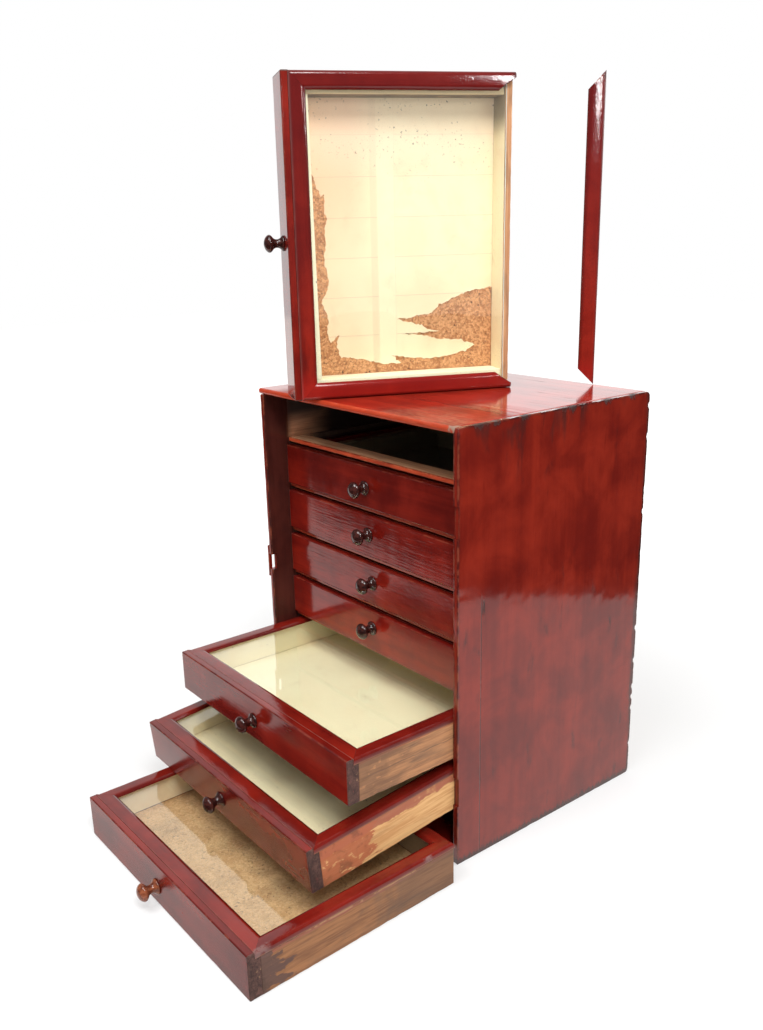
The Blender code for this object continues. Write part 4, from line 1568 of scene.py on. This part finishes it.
    def build_left(self) -> None:
        """The left side, under the top, notched for the keeper. Its inner face carries painted shade: a dark
        copy of the red on the strip along the front, and a dark wash over the bare wood everywhere but a lit
        patch low at the front of the top drawer's slot.
        """
        box = ((-self.half, self.front, 0.0), (-self.inner, self.back, self.top_under - self.gap))
        bm = Stock.board(box, 0.0015, 3, {2: 0.005})
        Stock.notch(bm, self.front, self.height - self.keeper_drop, tall=0.0175, deep=0.0064)
        Stock.knock(bm, box, 0.0007, 3.0)
        recipe = Recipe("left_skin")
        x, y, z = recipe.axes
        # A dark copy of the red, as painted shade, on the strip along the front of the inner face.
        dark = Shellac(Grain.UPRIGHT, box, 31.0, (0.028, 0.0068, 0.0058), (0.072, 0.0165, 0.0122))
        skin = self.side_red(box, 31.0, smudges=0.6).layer(recipe)
        skin = skin.under(x.rise(-self.inner - 0.0020, -self.inner - 0.0010), dark.layer(recipe))
        bare = BarePine(Grain.DEEP, 9.0, (0.66, 0.315, 0.165), (0.46, 0.195, 0.100), dirt=0.3).layer(recipe)
        # Painted shade over the bare inner face, all but a lit patch low at the front of the top drawer's
        # slot.
        shade = y.rise(-0.088, -0.036).most(z.rise(0.369, 0.394))
        shade = shade.most(z.rise(self.floor(1) + 0.0005, self.floor(1) - 0.0005))
        skin = skin.under(self.within(recipe), bare.tint(shade * 0.98, self.slot_shade))
        self.bench.lay("left_board", bm, recipe.surface(skin), "carcase", "red_shellac", ["left_side"])

    def build_base_and_back(self) -> None:
        """The bottom board and the plain back board."""
        side, inside = self.inner - self.gap, self.back_inside
        box = ((-side, self.front, 0.0), (side, inside - self.gap, self.base))
        bm = Stock.board(box, 0.0015, 3, {0: 0.006}, depth=0.0006, seed=4.0)
        recipe = Recipe("base_skin")
        skin = Shellac(Grain.ACROSS, box, 41.0).layer(recipe)
        # The inside, past the front strip, takes the inside wood with its painted shade.
        skin = skin.under(self.past_front(recipe), self.shaded_inside_wood(recipe, 11.0))
        self.bench.lay("base", bm, recipe.surface(skin), "carcase", "red_shellac", ["bottom_board"])
        box = ((-side, inside, 0.0), (side, self.back, self.top_under - self.gap))
        bm = Stock.board(box, 0.0006, 2, {2: 0.01}, depth=0.0006, seed=5.0)
        recipe = Recipe("back_skin")
        x, y, _ = recipe.axes
        pine = BarePine(Grain.UPRIGHT, 13.0, (0.36, 0.20, 0.095), (0.23, 0.118, 0.054))
        bare = replace(pine, dirt=0.6, rings=90.0, draw=0.014).layer(recipe)
        # The inner face takes the inside wood with its painted shade.
        bare = bare.under(y.rise(self.back - 0.002, inside + 0.001), self.shaded_inside_wood(recipe, 15.0))
        board = 0.098
        seams = (x - board / 2).cycle(board).rise(0.0008, 0.0002)
        bare = replace(bare.tint(seams * 0.75, self.board_seam), relief=bare.relief - seams * 0.0004)
        self.bench.lay("back", bm, recipe.surface(bare), "carcase", "frame_pine", ["back_board"])

    def build_keeper(self) -> None:
        """The strip over the notch in the left side's front edge."""
        middle, half_tall = self.height - self.keeper_drop, 0.018
        face = -self.half - self.gap
        low = (face - 0.0026, self.front, middle - half_tall)
        box = (low, (face, self.front + 0.0040, middle + half_tall))
        bm = Stock.board(box, 0.0007, 3, {2: 0.002}, depth=0.0004, seed=6.0)
        material = Shellac(Grain.UPRIGHT, box, 51.0, reach=0.0010).material(Recipe("keeper_skin"))
        self.bench.lay("keeper", bm, material, "carcase", "red_edge", ["door_keeper"])

    def frame_mesh(self, box: Box, seed: float) -> Mesh:
        """Cuts one dust frame: two rails and two runners round a hole.

        Args:
            box: its lowest and its highest corner.
            seed: the number that picks its wear.

        Returns:
            The mesh.
        """
        (_, front, under), (reach, back, _) = box
        open_half = self.inner - self.frame_runner
        bm = bmesh.new()
        bmesh.ops.create_grid(bm, x_segments=1, y_segments=1, size=0.5)
        bmesh.ops.scale(bm, vec=(2 * reach, back - front, 1.0), verts=bm.verts)
        bmesh.ops.translate(bm, vec=(0.0, (back + front) / 2, under), verts=bm.verts)
        for at in (-open_half, open_half):
            Stock.cut(bm, (at, 0.0, 0.0), (1.0, 0.0, 0.0))
        for at in (front + self.frame_rail, back - self.frame_rail):
            Stock.cut(bm, (0.0, at, 0.0), (0.0, 1.0, 0.0))
        hole = min(bm.faces, key=lambda face: face.calc_center_median().xy.length)
        bmesh.ops.delete(bm, geom=[hole], context="FACES")
        Stock.push(bm, (0.0, 0.0, self.frame_thick))
        front_edges = [
            edge
            for edge in Stock.between(bm, lambda co: co.y < front + TINY)
            if abs(edge.verts[0].co.z - edge.verts[1].co.z) < TINY
        ]
        Stock.bevel(bm, front_edges, 0.0009, 3)
        Stock.slice_up(bm, {0: 0.006})
        Stock.knock(bm, box, 0.0004, seed, 0.0014)
        return bm

    def build_frame(self, number: int) -> None:
        """One dust frame with a red front edge. The top one is paler, with painted shade at its back.

        Args:
            number: the number of the drawer over it.
        """
        floor, reach = self.floor(number), self.inner + self.dado - self.gap
        low = (-reach, self.frame_front, floor - self.frame_thick)
        box = (low, (reach, self.back_inside - self.gap, floor))
        bm = self.frame_mesh(box, 7.0 + number)
        recipe = Recipe(f"frame_{number}_skin")
        y = recipe.axes[1]
        bare = BarePine(Grain.DEEP, 60.0 + number, (0.24, 0.13, 0.06), (0.12, 0.06, 0.03))
        # The edge's red is about twice as bright as the sides' red: red shellac with painted light, on strips
        # that lie in the shade of the drawers above.
        edge = Shellac(
            Grain.ACROSS, box, 70.0 + number, (0.20, 0.024, 0.012), (0.42, 0.055, 0.025),
            worn=(0.62, 0.20, 0.085), wear=0.6, reach=0.0012,
        )
        shade = 0.0
        if number == 1:
            bare = replace(bare, grain=Grain.ACROSS, pale=(0.66, 0.36, 0.19), dark=(0.46, 0.21, 0.10))
            edge = replace(edge, deep=(0.32, 0.036, 0.015), glow=(0.56, 0.082, 0.030))
            # Painted shade over the back of the top frame.
            shade = y.rise(-0.080, -0.060) * 0.9
        face = y + recipe.cloud(300.0, 80.0 + number).wander(0.002)
        face = face.rise(self.frame_front + 0.0022, self.frame_front + 0.0012)
        skin = bare.layer(recipe).under(face, edge.layer(recipe)).tint(shade, self.frame_shade)
        nodes = [f"dust_frame_{number}"]
        self.bench.lay(f"frame_{number}", bm, recipe.surface(skin), "carcase", "frame_pine", nodes)


@dataclass(frozen=True)
class Studio:
    """A white sheet on the floor of a dim room, soft lamps, and the camera."""

    eye: Point = (0.72114, -0.66171, 0.57611)
    azimuth: float = 52.62
    elevation: float = 17.09
    roll: float = -1.61
    lens: float = 33.60
    shift: Pair = (0.01728, 0.01124)
    sky: float = 0.55
    white: Colour = (1.0, 1.0, 1.0)
    warm: Colour = (1.0, 0.95, 0.92)
    sheet_painted_shadow: Colour = (0.66, 0.64, 0.62)
    dark_floor: Colour = (0.04, 0.036, 0.032)
    dim_wall: Colour = (0.17, 0.165, 0.16)
    white_wall: Colour = (0.95, 0.95, 0.95)
    bright_wall: Colour = (1.5, 1.5, 1.5)
    shadowed: Colour = (0.46, 0.46, 0.46)
    bounce: Colour = (0.80, 0.80, 0.79)

    def build(self) -> None:
        """Sets up everything that isn't part of the cabinet."""
        bpy.context.scene.view_settings.view_transform = "Standard"
        self.build_floor()
        self.build_room()
        self.hang("softbox", (1.15, -0.60, 1.70), (0.0, -0.10, 0.30), 0.64, 24.8)
        self.hang("overhead", (0.10, -1.00, 2.00), (0.0, -0.15, 0.15), 1.20, 20.0)
        self.hang("lamp", (0.05, -1.25, 2.05), (0.0, -0.15, 0.25), 0.26, 6.0)
        self.hang("back_window", (0.33, 1.66, 0.85), (-0.05, -0.10, 0.65), 0.15, 2.5)
        self.hang("right_window", (1.50, 0.012, 0.922), (0.03, 0.04, 0.71), 0.07, 1.8, 0.045)
        self.hang("near_window", (1.24, -0.845, 0.865), (0.08, 0.115, 0.70), 0.06, 1.2)
        self.hang("far_window", (0.97, 0.95, 0.845), (-0.045, -0.127, 0.68), 0.12, 1.2, 0.06)
        self.hang("back_lamp", (0.48, 1.49, 1.69), (0.0, 0.0, 0.40), 0.35, 8.0)
        self.build_camera()

    def build_floor(self) -> None:
        """A wide sheet that stays white, keeps a faint shadow, and ends where its reflections end."""
        bm = bmesh.new()
        bmesh.ops.create_grid(bm, x_segments=8, y_segments=8, size=6.0)
        bmesh.ops.translate(bm, vec=(0.0, 0.0, -0.0004), verts=bm.verts)
        recipe = Recipe("white_sheet")
        x, y, _ = recipe.axes
        sheet = (x * 0.754 + y * 0.656).rise(0.732, 0.718) * (y - x * 0.25).rise(-0.50, -0.40)
        # A painted shadow in the sheet's mirrored image, in front of the eighth drawer.
        near = y.rise(-0.425, -0.370) * x.rise(-0.30, -0.23)
        mirrored = recipe.blend(near, self.warm, self.sheet_painted_shadow).tint(y.rise(-0.36, -0.30), self.warm)
        mirrored = recipe.blend(sheet, self.dark_floor, mirrored)
        image = recipe.node("ShaderNodeEmission", {"Color": mirrored, "Strength": 1.25})
        away = recipe.vector("LENGTH", recipe.local, (0.0, 0.0, 0.0), "Value")
        level = away.rise(0.25, 1.1) * 0.50 + 0.38
        glow = recipe.node("ShaderNodeEmission", {"Color": level, "Strength": 1.0})
        soft = recipe.node("ShaderNodeBsdfDiffuse", {"Color": self.shadowed})
        lit = recipe.node("ShaderNodeAddShader", {0: glow, 1: soft})
        pale = recipe.node("ShaderNodeBsdfDiffuse", {"Color": self.bounce})
        seen = recipe.path("Is Camera Ray").most(recipe.path("Is Transmission Ray"))
        bounced = recipe.path("Is Glossy Ray").least(recipe.path("Glossy Depth"))
        material = recipe.finish(recipe.shown(bounced, recipe.shown(seen, pale, lit), image))
        material.cycles.emission_sampling = "NONE"
        Bench.show("floor", bm, material)

    def build_room(self) -> None:
        """The world: white behind and to the left, dim elsewhere, and even for soft light."""
        world = bpy.data.worlds.new("room")
        bpy.context.scene.world = world
        world.use_nodes = True
        tree = Tree(world.node_tree)
        way = tree.node("ShaderNodeTexCoord", {}, "Generated")
        toward = tree.vector("DOT_PRODUCT", way, (-0.50, 0.85, 0.16), "Value")
        white = tree.blend(toward.rise(0.66, 1.0), self.white_wall, self.bright_wall)
        seen = tree.blend(toward.rise(0.40, 0.66), self.dim_wall, white)
        colour = tree.blend(tree.path("Is Glossy Ray"), (self.sky, self.sky, self.sky * 0.98), seen)
        straight = tree.path("Is Camera Ray").most(tree.path("Is Transmission Ray"))
        inputs = {"Color": colour.tint(straight, self.white), "Strength": 1.0}
        tree.end("ShaderNodeOutputWorld", tree.node("ShaderNodeBackground", inputs))

    def hang(self, name: str, at: Point, aim: Point, size: float, watts: float, tall: float = 0.0) -> None:
        """Hangs a square lamp, or a lower one.

        Args:
            name: its name.
            at: where it hangs.
            aim: where it points.
            size: the length of its sides.
            watts: its power.
            tall: its height, where that isn't its width.
        """
        data = bpy.data.lights.new(name, "AREA")
        data.shape = "RECTANGLE"
        data.size, data.size_y = size, tall or size
        data.energy = watts
        lamp = bpy.data.objects.new(name, data)
        lamp.location = at
        lamp.rotation_euler = (Vector(aim) - Vector(at)).to_track_quat("-Z", "Y").to_euler()
        lamp.visible_camera = False
        bpy.context.scene.collection.objects.link(lamp)

    def build_camera(self) -> None:
        """The camera at the photograph's place, turned by azimuth, elevation and roll."""
        data = bpy.data.cameras.new("camera")
        data.sensor_width = 36.0
        data.lens = self.lens
        data.shift_x, data.shift_y = self.shift
        data.clip_start = 0.02
        camera = bpy.data.objects.new("camera", data)
        azimuth, rise, roll = (math.radians(a) for a in (self.azimuth, self.elevation, self.roll))
        level = Vector((math.cos(azimuth), math.sin(azimuth), 0.0))
        back = Vector((level.y, -level.x, 0.0)) * math.cos(rise) + Vector((0.0, 0.0, math.sin(rise)))
        upright = back.cross(level)
        right = level * math.cos(roll) + upright * math.sin(roll)
        up = upright * math.cos(roll) - level * math.sin(roll)
        camera.matrix_world = Matrix.Translation(self.eye) @ Matrix((right, up, back)).transposed().to_4x4()
        bpy.context.scene.collection.objects.link(camera)
        bpy.context.scene.camera = camera


@dataclass(frozen=True)
class Arrangement:
    """The drawers as they stand: one on end, four shut, two drawn out and one on the floor."""

    carcase: Carcase
    sizes: DrawerSizes
    shut: float = -0.10165
    drawn: float = 0.1457

    def on_end(self, foot: Vector, yaw: float, depth: float) -> Place:
        """A drawer's frame stood on its end, on an edge of its lid's face.

        Args:
            foot: where the edge stands.
            yaw: the turn about the upright.
            depth: how far along its depth the edge is.

        Returns:
            The place.
        """
        along = Vector((math.cos(yaw), math.sin(yaw), 0.0))
        facing = Vector((along.y, -along.x, 0.0))
        up = Vector((0.0, 0.0, self.sizes.half))
        origin = foot + up - along * depth - facing * self.sizes.height
        return Place(tuple(origin), (0.0, math.pi / 2, yaw - math.pi / 2))

    def stood(self) -> Place:
        """The first drawer, on end on the top."""
        c = self.carcase
        foot = Vector((-0.0517, c.front - 0.0224, c.height + c.gap))
        return self.on_end(foot, math.radians(65.9), 0.0)

    def loose_rail(self) -> Place:
        """The loose rail, on its mitre's point near the back of the top."""
        c = self.carcase
        foot = Vector((0.089, c.back - 0.0065, c.height + c.gap))
        return self.on_end(foot, math.radians(45.0), self.sizes.depth)

    def level(self, number: int, drawn: float) -> Place:
        """A drawer in its slot, drawn out by a distance."""
        return Place((0.0, self.shut - drawn, self.carcase.floor(number) + self.carcase.gap))

    def nose_down(self) -> Place:
        """The seventh drawer: its front on the one below, its back caught under a frame."""
        s, c = self.sizes, self.carcase
        drop = c.floor(7) - s.height
        rise = 0.0033 - 2 * c.gap
        held = rise * s.depth / (drop + rise)
        tilt = math.atan2(drop, s.depth - held)
        front = c.frame_front - (s.depth - held) * math.cos(tilt)
        return Place((0.0, front, s.height + c.gap), (tilt, 0.0, 0.0))

    def on_floor(self) -> Place:
        """The eighth drawer, on the floor in front."""
        yaw = math.radians(1.05)
        foot = Vector((0.0237, self.carcase.front - 0.022, 0.0))
        origin = foot - Vector((-math.sin(yaw), math.cos(yaw), 0.0)) * self.sizes.depth
        return Place(tuple(origin), (0.0, 0.0, yaw))

    def woods(self) -> dict[int, WallWood]:
        """The walls of the drawers that show them, by the drawer's number."""
        return {
            1: WallWood(BarePine(Grain.DEEP, 1.0, (0.62, 0.34, 0.17), (0.42, 0.19, 0.085)), drip=-0.01),
            6: WallWood(
                BarePine(Grain.DEEP, 6.0, (0.43, 0.198, 0.085), (0.25, 0.114, 0.052), dirt=0.6, rings=80.0),
                stain=(0.36, 0.085, 0.040), drip=0.0012, drip_share=0.6, front_reach=0.052,
                front_stain=(0.12, 0.060, 0.034), front_share=0.60, front_soft=0.025, crack=0.0215,
            ),
            7: WallWood(
                BarePine(Grain.DEEP, 7.0, (0.64, 0.37, 0.155), (0.48, 0.235, 0.085), dirt=0.2),
                stain=(0.27, 0.050, 0.028), drip=0.0085, drip_wander=0.007, front_reach=0.066,
                front_stain=(0.36, 0.090, 0.035), front_share=0.88,
            ),
            8: WallWood(
                BarePine(Grain.DEEP, 8.0, (0.29, 0.125, 0.048), (0.165, 0.066, 0.026), dirt=0.5),
                stain=(0.22, 0.050, 0.030), drip=0.0030, drip_wander=0.003, drip_share=0.7,
                front_reach=0.034, front_stain=(0.085, 0.042, 0.034), front_share=0.88, back_share=0.5,
                splinters=0.6,
            ),
        }

    def drawers(self) -> list[Drawer]:
        """All eight drawers with their own wood, lining and tone."""
        places = [self.stood(), *(self.level(number, 0.0) for number in range(2, 6))]
        places += [self.level(6, self.drawn), self.nose_down(), self.on_floor()]
        knobs = [
            (0.0, -0.003), (-0.0085, -0.001), (-0.005, 0.002), (0.0, 0.002),
            (-0.002, 0.003), (-0.004, -0.0015), (-0.001, -0.001), (-0.007, -0.003),
        ]
        woods, plain = self.woods(), WallWood(BarePine(Grain.DEEP, 5.0))
        papers = {
            1: Paper(1.0, ruled=True, age=0.55, specks=1.0),
            # The second drawer's dark brown paper is painted shade, for a drawer seen only in the dark of the
            # empty slot above.
            2: Paper(2.0, cream=(0.40, 0.30, 0.18), aged=(0.32, 0.23, 0.135)),
            6: Paper(6.0, cream=(0.90, 0.81, 0.54), aged=(0.86, 0.74, 0.47)),
            7: Paper(7.0, cream=(0.84, 0.73, 0.48), aged=(0.74, 0.62, 0.39)),
        }
        linings = {1: Lining.TORN_PAPER, 8: Lining.CORK}
        buff = Cork(8.0, (0.66, 0.415, 0.205), (0.50, 0.285, 0.125), (0.105, 0.066, 0.030), 0.75, 0.35)
        light_knob = Turning(8.0, deep=(0.10, 0.024, 0.012), glow=(0.26, 0.075, 0.033))
        return [
            Drawer(
                bench=self.carcase.bench,
                number=number,
                place=place,
                knob_across=across,
                knob_above=above,
                wood=woods.get(number, plain),
                lining=linings.get(number, Lining.PAPER),
                paper=papers.get(number, Paper(number)),
                cork={8: buff}.get(number, Cork(number)),
                turning={8: light_knob}.get(number, Turning(number)),
                tone={1: 1.08, 2: 0.80, 3: 1.0, 4: 1.0, 5: 1.25}.get(number, 0.95),
                ribs={2: 6.0, 3: 11.0, 4: 18.0, 7: 0.3, 8: 0.6}.get(number, 8.0),
                gloss={7: 0.20, 8: 0.22}.get(number, 0.085),
                scuffs={8: ((0.012, 1.0), (0.190, 0.45))}.get(number, ()),
                sizes=self.sizes,
            )
            for number, (place, (across, above)) in enumerate(zip(places, knobs), start=1)
        ]


def main() -> None:
    """Builds the cabinet, its drawers and the studio, in that order."""
    logging.basicConfig(level=logging.INFO, format="%(message)s")
    bench = Bench()
    carcase = Carcase(bench)
    carcase.build()
    arrangement = Arrangement(carcase, DrawerSizes())
    drawers = arrangement.drawers()
    for drawer in drawers:
        drawer.build()
    LooseRail(drawers[0], arrangement.loose_rail()).build()
    Studio().build()
    LOG.info("%d pieces", len(bench.pieces))


if __name__ == "__main__":
    main()
